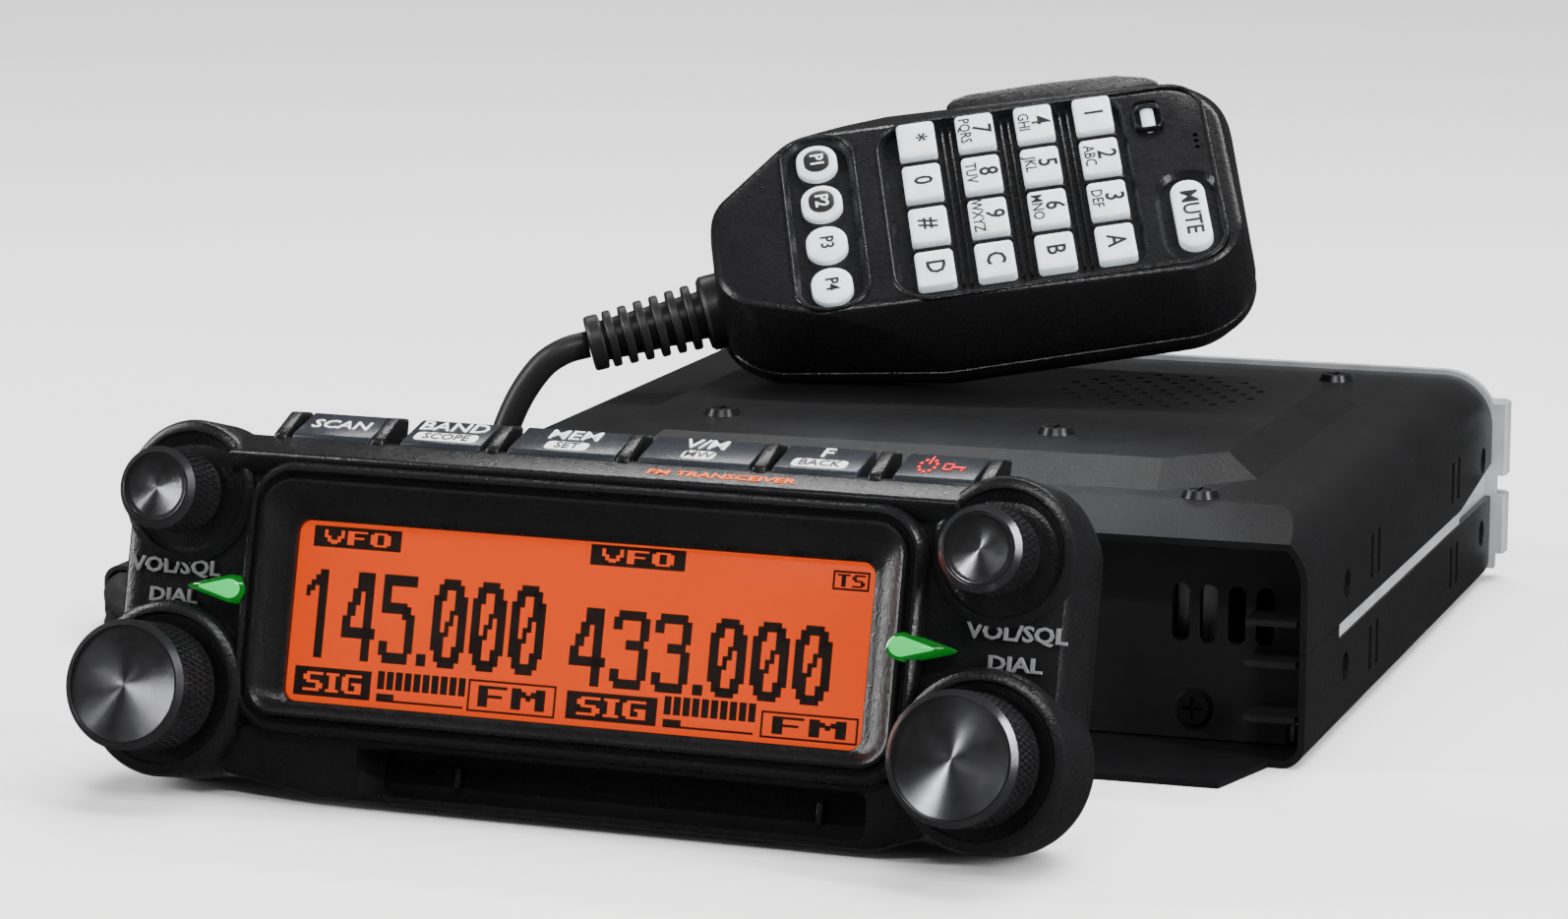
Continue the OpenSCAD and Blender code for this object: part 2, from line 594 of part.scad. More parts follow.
module encoders() color([0.55, 0.55, 0.57]) in_head() for (i = [0:3]) difference() {
    translate([knob_at(i).x - 5, knob_at(i).y - 5, encoder_z[0]]) cube([10, 10, encoder_z[1] - encoder_z[0]]);
    translate([knob_at(i).x, knob_at(i).y, shaft_back - 0.3]) cylinder(r = shaft_r + fit, h = 6);
}

// Teardrops in the bezel's left and right slopes, cut off at the display's edge
module lamp_shapes(grow) {
    for (s = [[-50, -1, 2.1], [47.2, 1, 1.7]]) translate([s[0], s[2], -head_wall - 1]) linear_extrude(6)
        intersection() {
            intersection_for (k = [-1, 1]) translate([s[1] * 0.6, k * -7.4]) circle(9.3 + grow, $fn = 64);
            translate([s[1] * 3.4 - 5 - grow, -3]) square([10 + 2 * grow, 6]);
        }
}

module side_lamps() color([0.1, 0.9, 0.3]) in_head() intersection() {
    lamp_shapes(0);
    translate([-60, -5, -head_wall - 0.5]) cube([120, 12, bezel_z + head_wall + 0.4]);
}

module top_key(i) color([0.2, 0.21, 0.24]) in_head() {
    k = key_spans[i - 1];
    along_x(k[0], k[1]) polygon([[key_y[0], key_z[0]], [key_y[1], key_z[0]], [key_y[1], key_z[0] + 0.8],
        [key_y[1] - 3.8, key_z[1]], [key_y[0], key_z[1]]]);
}

module knob(i) color([0.12, 0.12, 0.13]) in_head() translate([knob_at(i).x, knob_at(i).y, 0]) {
    r = knob_r(i);
    base = boss(i)[1] + 0.2;
    tip = base + (i % 2 == 0 ? small_len : large_len);
    rotate_extrude($fn = 64) polygon([[0, base], [r, base], [r, tip - 0.8], [r - 0.8, tip], [r - 1.2,
        tip - 0.3], [0, tip - 0.3]]);
    translate([0, 0, shaft_back]) cylinder(r = shaft_r, h = base + e - shaft_back);
}

// --- Microphone ---

module mic_ring(z, h, list, less) {
    for (c = list) translate([c[0], c[1], z]) cylinder(r = c[2] - less, h = h, $fn = 32);
}

mic_wide = [[24, 16, 13.5], [24.5, -13, 12.5], [-8, 19.5, 12], [-14, -13, 12.5], [-38, 6, 13], [-38, -8, 13]];
mic_face = [[25, 9, 10.5], [25, -13, 10.5], [-13, 10.5, 9.5], [-13, -13.5, 9.5], [-41, 2, 9], [-41, -9, 9]];
mic_edge = [[24, -12.5, 11], [-13, -12.8, 10.6], [-36, -7, 10.4]];
mic_back = [[20, 8, 12, -27], [20, -5, 10, -25], [-8, 9, 11, -27], [-12, -4, 9, -24.5], [-36, 2, 9, -22]];

module mic_shell(less) {
    hull() {
        mic_ring(mic_part_z, 3, mic_wide, less);
        mic_ring(face_z - 1.2 - less, 1.2, mic_face, less);
    }
}

module mic_belly(less) {
    hull() {
        mic_ring(mic_part_z - 2.1, 2, mic_wide, less);
        mic_ring(-18.9 + less, 1, mic_edge, less);
        for (c = mic_back) translate([c[0], c[1], c[3] + less]) cylinder(r = c[2] - less, h = 1, $fn = 32);
    }
}

function pad_at(i) = [(1.5 - floor(i / 4)) * pitch_u, (1.5 - i % 4) * pitch_v];

module mic_key_holes() {
    for (i = [0:15]) translate(pad_at(i)) pill(key_u + 2 * play, key_v + 2 * play, 0.8);
    for (p = p_key_at) translate(p) pill(p_key[0] + 2 * play, p_key[1] + 2 * play, p_key[2]);
    translate(mute_at) pill(mute_key[0] + 2 * play, mute_key[1] + 2 * play, mute_key[2]);
    translate(lamp_at) pill(2.4, 6.2, 1.1);
}

module mic_front_case() color([0.07, 0.07, 0.08]) in_mic() difference() {
    mic_shell(0);
    difference() {
        mic_shell(mic_wall);
        translate([-30, -30, floor_z - mic_wall]) cube([80, 60, 4]);
        translate([-60, -30, floor_z - mic_wall]) cube([40, 60, 4]);
    }
    translate([0, 0, mic_part_z - 1]) linear_extrude(4) wide_outline(mic_wall);
    translate([0, 0, floor_z]) linear_extrude(3)
        frame2d(-2 * pitch_u - 1.6, -2 * pitch_v - 1, 2 * pitch_u + 0.6, 2 * pitch_v - 1, 5);
    translate([p_key_at[0].x, -0.9, floor_z]) linear_extrude(3) pill(10.4, 38.5, 4.5);
    translate([mute_at.x, mute_at.y, floor_z + 0.5]) linear_extrude(3) pill(9.6, 19.4, 4.5);
    translate([0, 0, -8]) linear_extrude(12) mic_key_holes();
    for (i = [-1:1]) translate([30.6, 5.3 + 1.6 * i, -8]) cylinder(r = 0.4, h = 12, $fn = 16);
    talk_slot();
    relief_seat();
    translate([bar_pivot.x, bar_pivot.y, -10]) cylinder(r = bar_pin_r + fit, h = 6);
}

// The way through the case for the strain relief: a hole for its neck and a seat for its flange
module relief_seat() relief_place() {
    translate([0, 0, -8]) cylinder(r = 4.05, h = 12);
    translate([0, 0, -1.4]) cylinder(r = 6.25, h = 20);
}

module relief_place() {
    run = relief_to - relief_from;
    translate(relief_from) rotate([0, acos(run.z / norm(run)), atan2(run.y, run.x)]) children();
}

// Outline of the case where its two halves meet
module wide_outline(less) hull() for (c = mic_wide) translate([c[0], c[1]]) circle(c[2] - less, $fn = 32);

module talk_slot() translate([bar_x[0] - 0.6, 23.5, bar_z[0] - 0.3])
    cube([bar_x[1] - bar_x[0] + 1.2, 14, bar_z[1] - bar_z[0] + 0.6]);

module mic_rear_case() color([0.06, 0.06, 0.07]) in_mic() difference() {
    mic_belly(0);
    translate([0, 0, 0.2]) mic_belly(mic_wall);
    translate([0, 0, mic_part_z - 0.1]) linear_extrude(4) wide_outline(-1);
    relief_seat();
}

module mic_talk_bar() color([0.05, 0.05, 0.055]) in_mic() {
    translate([0, 0, bar_z[0]]) linear_extrude(bar_z[1] - bar_z[0])
        polygon([[bar_x[0], 24.4], [bar_x[0], 31], [bar_x[0] + 4, 33.2], [bar_x[1] - 7, 32.6], [bar_x[1],
            29.8],
            [bar_x[1], 27.4], [bar_x[0] + 5, 27.4], [bar_x[0] + 5, 24.4]]);
    translate([bar_pivot.x, bar_pivot.y, bar_z[0]]) cylinder(r = bar_pin_r, h = bar_z[1] - bar_z[0] + 1.2);
}

module mic_lamp() color([0.8, 0.85, 0.88]) in_mic() translate([lamp_at.x, lamp_at.y, board_z[1]])
    linear_extrude(floor_z - board_z[1] + 0.8) pill(2, 5.8, 0.95);

module mic_board() color([0.05, 0.3, 0.15]) in_mic() {
    translate([0, 0, board_z[0]]) linear_extrude(board_z[1] - board_z[0]) difference() {
        frame2d(-34, -15, 28, 16, 3);
        translate([-30, 0]) circle(1.6);
    }
    translate([24, 3, board_z[1]]) cylinder(r = 2.6, h = 2.2);
}

module mic_strain_relief() color([0.05, 0.05, 0.05]) in_mic() relief_place() {
    long = norm(relief_to - relief_from);
    difference() {
        union() {
            translate([0, 0, -1.4]) cylinder(r = 6.2, h = 4.6);
            translate([0, 0, -5]) cylinder(r = 4, h = 6);
            cylinder(r1 = 4.2, r2 = 3.3, h = long);
            for (i = [0:5]) translate([0, 0, 4.6 + 2.7 * i]) cylinder(r = 5.4 - 0.14 * i, h = 1.4);
            translate([0, 0, long - 2.4]) cylinder(r = 4.6, h = 2.4);
        }
        translate([0, 0, long - 0.2]) cylinder(r = cord_d / 2 + fit, h = 2);
    }
}

module mic_key(at, size, top) color([0.85, 0.9, 0.93]) in_mic()
    translate([at.x, at.y, key_low]) linear_extrude(top - key_low) pill(size[0], size[1], size[2]);

// --- Cord ---

module cord_tube() color([0.05, 0.05, 0.05]) {
    tube(fall, cord_d);
    tube(lead, cord_d);
}

// Outer shape of four turns, two wide and two high
module cord_coil() color([0.05, 0.05, 0.05]) translate([coil_at.x, coil_at.y, 0]) rotate_extrude($fn = 64)
    difference() {
        translate([coil_r - cord_d, 0]) square([2 * cord_d, 2 * cord_d]);
        for (x = [-1, 1], y = [0, 2]) translate([coil_r + x * cord_d, y * cord_d]) circle(0.8, $fn = 4);
    }

module mic_plug() color([0.12, 0.12, 0.12]) translate([jack_x[0], plate_y, jack_z]) {
    translate([-5.8, -9, -3.9]) cube([11.6, 19, 7.8]);
    translate([0, -9 + e, 0]) rotate([90, 0, 0])
        cylinder(r1 = 3.9, r2 = 3, h = plate_y - 9 - lead[len(lead) - 1].y);
}

upper_cover();
lower_cover();
chassis();
front_plate();
main_board();
speaker();
fan_rotor();
fan_motor();
antenna_socket();
power_inlet();
front_jacks();
case_screws();
head_bracket();
head_front_case();
head_rear_case();
lcd_window();
lcd_panel();
side_lamps();
head_board();
encoders();
knob(0);  // left_small_knob
knob(1);  // left_large_knob
knob(2);  // right_small_knob
knob(3);  // right_large_knob
for (i = [1:6]) top_key(i);
mic_front_case();
mic_rear_case();
mic_talk_bar();
mic_lamp();
mic_strain_relief();
mic_board();
for (i = [0:15]) mic_key(pad_at(i), [key_u, key_v,
    0.6], 0);
for (i = [0:3]) mic_key(p_key_at[i], p_key, -0.5);
mic_key(mute_at, mute_key, 0.4);  // mic_key_mute
cord_tube();
cord_coil();
mic_plug();
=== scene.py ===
"""Looks of a mobile radio set: main unit, tilting control head and corded hand microphone."""

import json
import math
import re

import bmesh
import bpy
from mathutils import Matrix, Vector


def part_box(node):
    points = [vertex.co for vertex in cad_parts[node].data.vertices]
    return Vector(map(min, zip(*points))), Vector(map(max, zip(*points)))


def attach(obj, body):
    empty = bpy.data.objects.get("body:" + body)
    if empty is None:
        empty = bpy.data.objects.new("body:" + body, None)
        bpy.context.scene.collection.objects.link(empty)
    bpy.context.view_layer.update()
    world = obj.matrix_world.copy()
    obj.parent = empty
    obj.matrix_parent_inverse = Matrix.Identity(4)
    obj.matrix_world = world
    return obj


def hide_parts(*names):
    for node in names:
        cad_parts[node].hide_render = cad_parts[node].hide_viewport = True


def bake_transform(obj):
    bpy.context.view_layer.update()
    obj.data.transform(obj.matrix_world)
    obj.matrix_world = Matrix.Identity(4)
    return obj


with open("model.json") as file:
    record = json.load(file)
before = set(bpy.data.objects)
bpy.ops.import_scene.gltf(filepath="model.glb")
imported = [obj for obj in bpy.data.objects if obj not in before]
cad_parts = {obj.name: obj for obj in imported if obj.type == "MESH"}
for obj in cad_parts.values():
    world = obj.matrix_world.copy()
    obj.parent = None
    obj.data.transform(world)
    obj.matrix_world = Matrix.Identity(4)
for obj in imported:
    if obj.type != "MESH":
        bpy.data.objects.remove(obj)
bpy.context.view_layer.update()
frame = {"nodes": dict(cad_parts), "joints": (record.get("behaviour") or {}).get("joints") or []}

MM = 0.001
JOINTS = {joint["name"]: joint for joint in frame["joints"]}


# --- Frames of the control head and of the microphone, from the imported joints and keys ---

def centre(node):
    low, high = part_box(node)
    return (Vector(low) + Vector(high)) / 2


def axes_matrix(origin, x, y, z):
    turn = Matrix((x, y, z)).transposed().to_4x4()
    return Matrix.Translation(origin) @ turn @ Matrix.Scale(MM, 4)


def joint_axis(name):
    return Vector(JOINTS[name]["axis"]).normalized()


head_x = joint_axis("head_tilt")
head_z = joint_axis("left_small_knob_turn")
head_y = head_z.cross(head_x)
left_knob = Vector(JOINTS["left_small_knob_turn"]["pos_m"])
right_knob = Vector(JOINTS["right_small_knob_turn"]["pos_m"])
HALF_SPAN = (right_knob - left_knob).length / 2 / MM
SMALL_Y = 15.0
LARGE_Y = -12.4
HEAD = axes_matrix((left_knob + right_knob) / 2 - head_y * SMALL_Y * MM, head_x, head_y, head_z)

mic_z = -joint_axis("mic_key_1_press")
mic_y = (centre("mic_key_1") - centre("mic_key_a")).normalized()
mic_x = mic_y.cross(mic_z)
PITCH_V = (centre("mic_key_1") - centre("mic_key_a")).length / 3 / MM
PITCH_U = (centre("mic_key_1") - centre("mic_key_star")).length / 3 / MM
pad_middle = (centre("mic_key_1") + centre("mic_key_d")) / 2
KEY_MIDDLE = -2.3
MIC = axes_matrix(pad_middle - mic_z * KEY_MIDDLE * MM, mic_x, mic_y, mic_z)
UNIT = Matrix.Scale(MM, 4)


# --- Camera ---

CAMERA_TURN = (17.82, 9.83, 0.27)    # degrees: azimuth, looking down, roll
CAMERA_PLACE = (0.2153, -0.770, 0.1671)
CAMERA_LENS = 117.0


def make_camera():
    azimuth, elevation, roll = [math.radians(angle) for angle in CAMERA_TURN]
    forward = Vector((-math.sin(azimuth) * math.cos(elevation), math.cos(azimuth) * math.cos(elevation),
                      -math.sin(elevation)))
    right = Vector((math.cos(azimuth), math.sin(azimuth), 0))
    up = right.cross(forward)
    rolled_right = math.cos(roll) * right + math.sin(roll) * up
    rolled_up = -math.sin(roll) * right + math.cos(roll) * up
    data = bpy.data.cameras.new("camera")
    data.sensor_width = 36
    data.lens = CAMERA_LENS
    data.clip_start = 0.01
    camera = bpy.data.objects.new("camera", data)
    turn = Matrix((rolled_right, rolled_up, -forward)).transposed().to_4x4()
    camera.matrix_world = Matrix.Translation(CAMERA_PLACE) @ turn
    bpy.context.collection.objects.link(camera)
    bpy.context.scene.camera = camera


# --- Materials ---

def node_material(name):
    material = bpy.data.materials.new(name)
    material.use_nodes = True
    nodes = material.node_tree.nodes
    return material, nodes, material.node_tree.links, nodes["Principled BSDF"]


def coordinates(nodes):
    return nodes.new("ShaderNodeTexCoord").outputs["Object"]


def noise(nodes, links, size_mm, detail=2.0, source=None):
    """Noise whose grains are about size_mm across."""
    texture = nodes.new("ShaderNodeTexNoise")
    texture.inputs["Scale"].default_value = 1.0 / (size_mm * MM)
    texture.inputs["Detail"].default_value = detail
    links.new(source or coordinates(nodes), texture.inputs["Vector"])
    return texture.outputs["Fac"]


def ramp(nodes, links, source, stops):
    """Colours or greys along a factor; stops are (place, (r, g, b))."""
    node = nodes.new("ShaderNodeValToRGB")
    elements = node.color_ramp.elements
    while len(elements) < len(stops):
        elements.new(0.5)
    for element, (place, colour) in zip(elements, stops):
        element.position = place
        element.color = (*colour, 1)
    links.new(source, node.inputs["Fac"])
    return node.outputs["Color"]


def bump(nodes, links, height, depth_mm):
    node = nodes.new("ShaderNodeBump")
    node.inputs["Strength"].default_value = 1
    node.inputs["Distance"].default_value = depth_mm * MM
    links.new(height, node.inputs["Height"])
    return node.outputs["Normal"]


def grained(name, colour, roughness, grain_mm, depth_mm, spread=0.15, metallic=0.0, coat=0.0, shine=0.25):
    """Moulded or painted surface: a fine raised grain, uneven gloss and a slight change of tone."""
    material, nodes, links, shader = node_material(name)
    place = coordinates(nodes)
    tone = noise(nodes, links, 14, 3, place)
    dark = tuple(c * (1 - spread) for c in colour)
    light = tuple(min(1, c * (1 + spread)) for c in colour)
    links.new(ramp(nodes, links, tone, [(0.3, dark), (0.7, light)]), shader.inputs["Base Color"])
    gloss = noise(nodes, links, 1.2, 3, place)
    grey = [(v,) * 3 for v in (roughness * 0.92, min(1, roughness * 1.08))]
    links.new(ramp(nodes, links, gloss, [(0.35, grey[0]), (0.65, grey[1])]), shader.inputs["Roughness"])
    shader.inputs["Specular IOR Level"].default_value = shine
    grain = noise(nodes, links, grain_mm, 1.5, place)
    links.new(bump(nodes, links, grain, depth_mm), shader.inputs["Normal"])
    shader.inputs["Metallic"].default_value = metallic
    shader.inputs["Coat Weight"].default_value = coat
    return material


def brushed(name, colour, roughness, metallic=1.0):
    """Cast or turned metal with fine streaks and dull patches."""
    material, nodes, links, shader = node_material(name)
    place = coordinates(nodes)
    patch = noise(nodes, links, 6, 5, place)
    links.new(ramp(nodes, links, patch, [(0.3, tuple(c * 0.8 for c in colour)), (0.7, colour)]),
              shader.inputs["Base Color"])
    links.new(ramp(nodes, links, patch, [(0.3, (roughness,) * 3), (0.7, (roughness * 1.5,) * 3)]),
              shader.inputs["Roughness"])
    links.new(bump(nodes, links, noise(nodes, links, 0.35, 2, place), 0.02), shader.inputs["Normal"])
    shader.inputs["Metallic"].default_value = metallic
    return material


def lit(name, colour, strength, roughness=0.25):
    """A back-lit surface, a little uneven."""
    material, nodes, links, shader = node_material(name)
    shade = noise(nodes, links, 30, 1)
    links.new(ramp(nodes, links, shade, [(0.2, tuple(c * 0.93 for c in colour)), (0.8, colour)]),
              shader.inputs["Emission Color"])
    shader.inputs["Emission Strength"].default_value = strength
    shader.inputs["Base Color"].default_value = (*[c * 0.2 for c in colour], 1)
    shader.inputs["Roughness"].default_value = roughness
    return material


def clear(name):
    """Thin clear pane: nearly all of it lets light through, the rest gives the gloss."""
    material, nodes, links, shader = node_material(name)
    shader.inputs["Base Color"].default_value = (0.004, 0.004, 0.004, 1)
    shader.inputs["Alpha"].default_value = 0.06
    smear = noise(nodes, links, 9, 3)
    links.new(ramp(nodes, links, smear, [(0.4, (0.03,) * 3), (0.7, (0.08,) * 3)]), shader.inputs["Roughness"])
    return material


def milky(name):
    """Translucent white key plastic."""
    material, nodes, links, shader = node_material(name)
    tone = noise(nodes, links, 3, 2)
    links.new(ramp(nodes, links, tone, [(0.3, (0.66, 0.74, 0.8)), (0.7, (0.78, 0.84, 0.88))]),
              shader.inputs["Base Color"])
    shader.inputs["Roughness"].default_value = 0.28
    shader.inputs["Subsurface Weight"].default_value = 0.35
    shader.inputs["Subsurface Radius"].default_value = (1, 1.1, 1.2)
    shader.inputs["Subsurface Scale"].default_value = 0.0012
    links.new(bump(nodes, links, noise(nodes, links, 0.8, 2), 0.01), shader.inputs["Normal"])
    return material


black = (0.0055, 0.0055, 0.006)
cover_paint = grained("cover_paint", black, 0.32, 0.5, 0.05, shine=0.18)
plate_paint = grained("plate_paint", (0.008, 0.008, 0.009), 0.5, 0.5, 0.02)
head_plastic = grained("head_plastic", black, 0.29, 0.42, 0.06)
mic_plastic = grained("mic_plastic", (0.006, 0.006, 0.0066), 0.28, 0.45, 0.06)
panel_plastic = grained("panel_plastic", (0.007, 0.007, 0.008), 0.24, 0.3, 0.012)
# The raised words are moulded in the case's own black. This lighter grey is a painted highlight for the light
# their edges catch.
word_painted_highlight = grained("word_painted_highlight", (0.13, 0.13, 0.135), 0.18, 0.3, 0.002, coat=0.6, shine=0.5)
knob_plastic = grained("knob_plastic", (0.085, 0.085, 0.09), 0.24, 0.25, 0.006, metallic=0.9)
knob_face = grained("knob_face", (0.17, 0.17, 0.178), 0.22, 0.25, 0.003, metallic=1.0)
top_key_plastic = grained("top_key_plastic", (0.016, 0.018, 0.022), 0.26, 0.4, 0.01, shine=0.15)
inlet_plastic = grained("inlet_plastic", (0.012, 0.012, 0.012), 0.42, 0.4, 0.02)
cord_rubber = grained("cord_rubber", (0.012, 0.012, 0.012), 0.42, 0.3, 0.02)
speaker_paper = grained("speaker_paper", (0.02, 0.02, 0.02), 0.75, 0.25, 0.05)
board_mask = grained("board_mask", (0.015, 0.11, 0.045), 0.35, 1.2, 0.02)
casting = brushed("casting", (0.62, 0.63, 0.65), 0.32, metallic=0.55)
socket_plate = brushed("socket_plate", (0.75, 0.75, 0.73), 0.16)
screw_black = grained("screw_black", (0.02, 0.02, 0.021), 0.3, 0.3, 0.01, metallic=0.7)
encoder_steel = brushed("encoder_steel", (0.5, 0.5, 0.52), 0.3)
window_clear = clear("window_clear")
display_orange = lit("display_orange", (1.0, 0.07, 0.0), 0.95)
lamp_green = lit("lamp_green", (0.003, 0.16, 0.012), 0.8, 0.12)
lamp_core = lit("lamp_core", (0.03, 0.78, 0.16), 1.1, 0.12)
key_white = milky("key_white")
ink_black = grained("ink_black", (0.012, 0.012, 0.012), 0.4, 0.3, 0.004)
ink_white = grained("ink_white", (0.75, 0.76, 0.78), 0.4, 0.3, 0.004, 0.05)
ink_orange = grained("ink_orange", (0.85, 0.13, 0.015), 0.45, 0.3, 0.004, 0.1, shine=0.1)
ink_red = grained("ink_red", (0.7, 0.02, 0.015), 0.45, 0.3, 0.004, 0.1, shine=0.1)
pixel_dark = grained("pixel_dark", (0.012, 0.008, 0.007), 0.3, 0.3, 0.002)
key_black = grained("key_black", (0.012, 0.012, 0.013), 0.25, 0.3, 0.006)


# --- Mesh tools: shapes are drawn in millimetres in their own frame ---

def rounded(x0, y0, x1, y1, r, z, steps=6):
    """Points round a rounded rectangle, from its right side, turning left."""
    points = []
    for corner, (cx, cy) in enumerate(((x1 - r, y1 - r), (x0 + r, y1 - r), (x0 + r, y0 + r),
                                       (x1 - r, y0 + r))):
        for i in range(steps + 1):
            turn = math.pi / 2 * (corner + i / steps)
            points.append(Vector((cx + r * math.cos(turn), cy + r * math.sin(turn), z)))
    return points


HULL_STEPS = 72


def round_hull(circles, z, inset=0.0):
    """Points round the hull of circles (x, y, r), one for each direction."""
    points = []
    for i in range(HULL_STEPS):
        turn = 2 * math.pi * i / HULL_STEPS
        way = Vector((math.cos(turn), math.sin(turn)))
        x, y, r = max(circles, key=lambda c: c[0] * way.x + c[1] * way.y + c[2])
        points.append(Vector((x + (r - inset) * way.x, y + (r - inset) * way.y, z)))
    return points


def between(first, second, share):
    return [a.lerp(b, share) for a, b in zip(first, second)]


def loop_of(bm, points):
    verts = [bm.verts.new(p) for p in points]
    return verts, [bm.edges.new((a, b)) for a, b in zip(verts, verts[1:] + verts[:1])]


def loft(bm, rings, ring_closed=False):
    """Joins rings of points into a skin, capped at both ends unless its last ring joins its first."""
    loops = [loop_of(bm, ring) for ring in rings]
    pairs = list(zip(loops, loops[1:]))
    if ring_closed:
        pairs.append((loops[-1], loops[0]))
    for first, second in pairs:
        bmesh.ops.bridge_loops(bm, edges=first[1] + second[1])
    if not ring_closed:
        bm.faces.new(loops[0][0])
        bm.faces.new(loops[-1][0])


def bevelled(bm, edges, width, segments=2):
    bmesh.ops.bevel(bm, geom=edges, offset=width, offset_type="OFFSET", segments=segments, profile=0.5,
                    affect="EDGES", clamp_overlap=True, material=-1)


def prism(bm, points, low, high, edge=0.0, segments=2, along="z"):
    """A flat outline pushed from low to high along an axis, its rim rounded by edge."""
    part = bmesh.new()
    order = {"z": lambda p: (p[0], p[1], low), "x": lambda p: (low, p[0], p[1]),
             "y": lambda p: (p[0], low, p[1])}
    face = part.faces.new([part.verts.new(order[along](p)) for p in points])
    made = bmesh.ops.extrude_face_region(part, geom=[face])
    moved = [g for g in made["geom"] if isinstance(g, bmesh.types.BMVert)]
    step = {"z": (0, 0, high - low), "x": (high - low, 0, 0), "y": (0, high - low, 0)}[along]
    bmesh.ops.translate(part, vec=step, verts=moved)
    bmesh.ops.recalc_face_normals(part, faces=part.faces)
    if edge:
        bevelled(part, [e for e in part.edges if e.calc_face_angle(0) > 0.6], edge, segments)
    add(bm, part)


def add(bm, part, matrix=None, slot=None):
    """Moves a part's mesh into bm and frees it."""
    if matrix:
        part.transform(matrix)
    if slot is not None:
        for face in part.faces:
            face.material_index = slot
    mesh = bpy.data.meshes.new("part")
    part.to_mesh(mesh)
    part.free()
    bm.from_mesh(mesh)
    bpy.data.meshes.remove(mesh)


def turned(bm, profile, x=0.0, y=0.0, steps=64, slot=None):
    """Spins a profile of (radius, height) points about an upright axis."""
    part = bmesh.new()
    verts = [part.verts.new((r, 0, z)) for r, z in profile]
    edges = [part.edges.new(pair) for pair in zip(verts, verts[1:])]
    bmesh.ops.spin(part, geom=verts + edges, cent=(0, 0, 0), axis=(0, 0, 1), angle=2 * math.pi, steps=steps,
                   use_merge=True, use_duplicate=False)
    bmesh.ops.remove_doubles(part, verts=part.verts, dist=0.0005)
    bmesh.ops.recalc_face_normals(part, faces=part.faces)
    add(bm, part, Matrix.Translation((x, y, 0)), slot)


def box(bm, x0, y0, z0, x1, y1, z1, edge=0.0):
    prism(bm, [(x0, y0), (x1, y0), (x1, y1), (x0, y1)], z0, z1, edge)


def lettering(bm, words, size, matrix, slot, bold=0.0, width=1.0, thick=0.06, round_edge=0.0):
    """Raised letters, centred on the matrix's origin and lying in its XY plane."""
    curve = bpy.data.curves.new("letters", "FONT")
    curve.body = words
    curve.size = size
    curve.align_x = "CENTER"
    curve.align_y = "CENTER"
    curve.extrude = thick
    curve.offset = bold
    curve.bevel_depth = round_edge
    curve.resolution_u = 2
    letters = bpy.data.objects.new("letters", curve)
    bpy.context.collection.objects.link(letters)
    mesh = bpy.data.meshes.new_from_object(letters.evaluated_get(bpy.context.evaluated_depsgraph_get()))
    part = bmesh.new()
    part.from_mesh(mesh)
    bmesh.ops.remove_doubles(part, verts=part.verts, dist=0.0005)
    add(bm, part, matrix @ Matrix.Diagonal((width, 1, 1, 1)), slot)
    bpy.data.objects.remove(letters)
    bpy.data.curves.remove(curve)
    bpy.data.meshes.remove(mesh)


def cutter(bm_points_list):
    bm = bmesh.new()
    loft(bm, bm_points_list)
    bmesh.ops.recalc_face_normals(bm, faces=bm.faces)
    mesh = bpy.data.meshes.new("cutter")
    bm.to_mesh(mesh)
    bm.free()
    obj = bpy.data.objects.new("cutter", mesh)
    bpy.context.collection.objects.link(obj)
    return obj


def cut(bm, cutters):
    """Takes the cutters' shapes out of a closed mesh."""
    mesh = bpy.data.meshes.new("blank")
    bm.to_mesh(mesh)
    bm.free()
    blank = bpy.data.objects.new("blank", mesh)
    bpy.context.collection.objects.link(blank)
    for obj in cutters:
        tool = blank.modifiers.new("cut", "BOOLEAN")
        tool.operation = "DIFFERENCE"
        tool.object = obj
        tool.solver = "EXACT"
    depsgraph = bpy.context.evaluated_depsgraph_get()
    result = bpy.data.meshes.new_from_object(blank.evaluated_get(depsgraph))
    out = bmesh.new()
    out.from_mesh(result)
    for obj in [blank] + cutters:
        data = obj.data
        bpy.data.objects.remove(obj)
        bpy.data.meshes.remove(data)
    bpy.data.meshes.remove(result)
    return out


def recess(x0, y0, x1, y1, r, floor, flare=0.8, top=1.0):
    """A cutter for a sunk field: its walls lean out towards the top."""
    return cutter([rounded(x0, y0, x1, y1, r, floor, 6), rounded(x0 - flare, y0 - flare, x1 + flare,
                                                                 y1 + flare,
                                                                 r + flare, top, 6)])


def piece(name, bm, matrix, materials, body, nodes=(), smooth=32):
    """Makes the finished object, in place, riding on its body and standing for its CAD nodes."""
    bm.transform(matrix)
    mesh = bpy.data.meshes.new(name)
    bm.to_mesh(mesh)
    bm.free()
    mesh.shade_smooth()
    mesh.set_sharp_from_angle(angle=math.radians(smooth))
    obj = bpy.data.objects.new(name, mesh)
    bpy.context.collection.objects.link(obj)
    for material in materials:
        mesh.materials.append(material)
    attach(obj, body)
    if nodes:
        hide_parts(*nodes)
    return obj


# --- Microphone cord ---

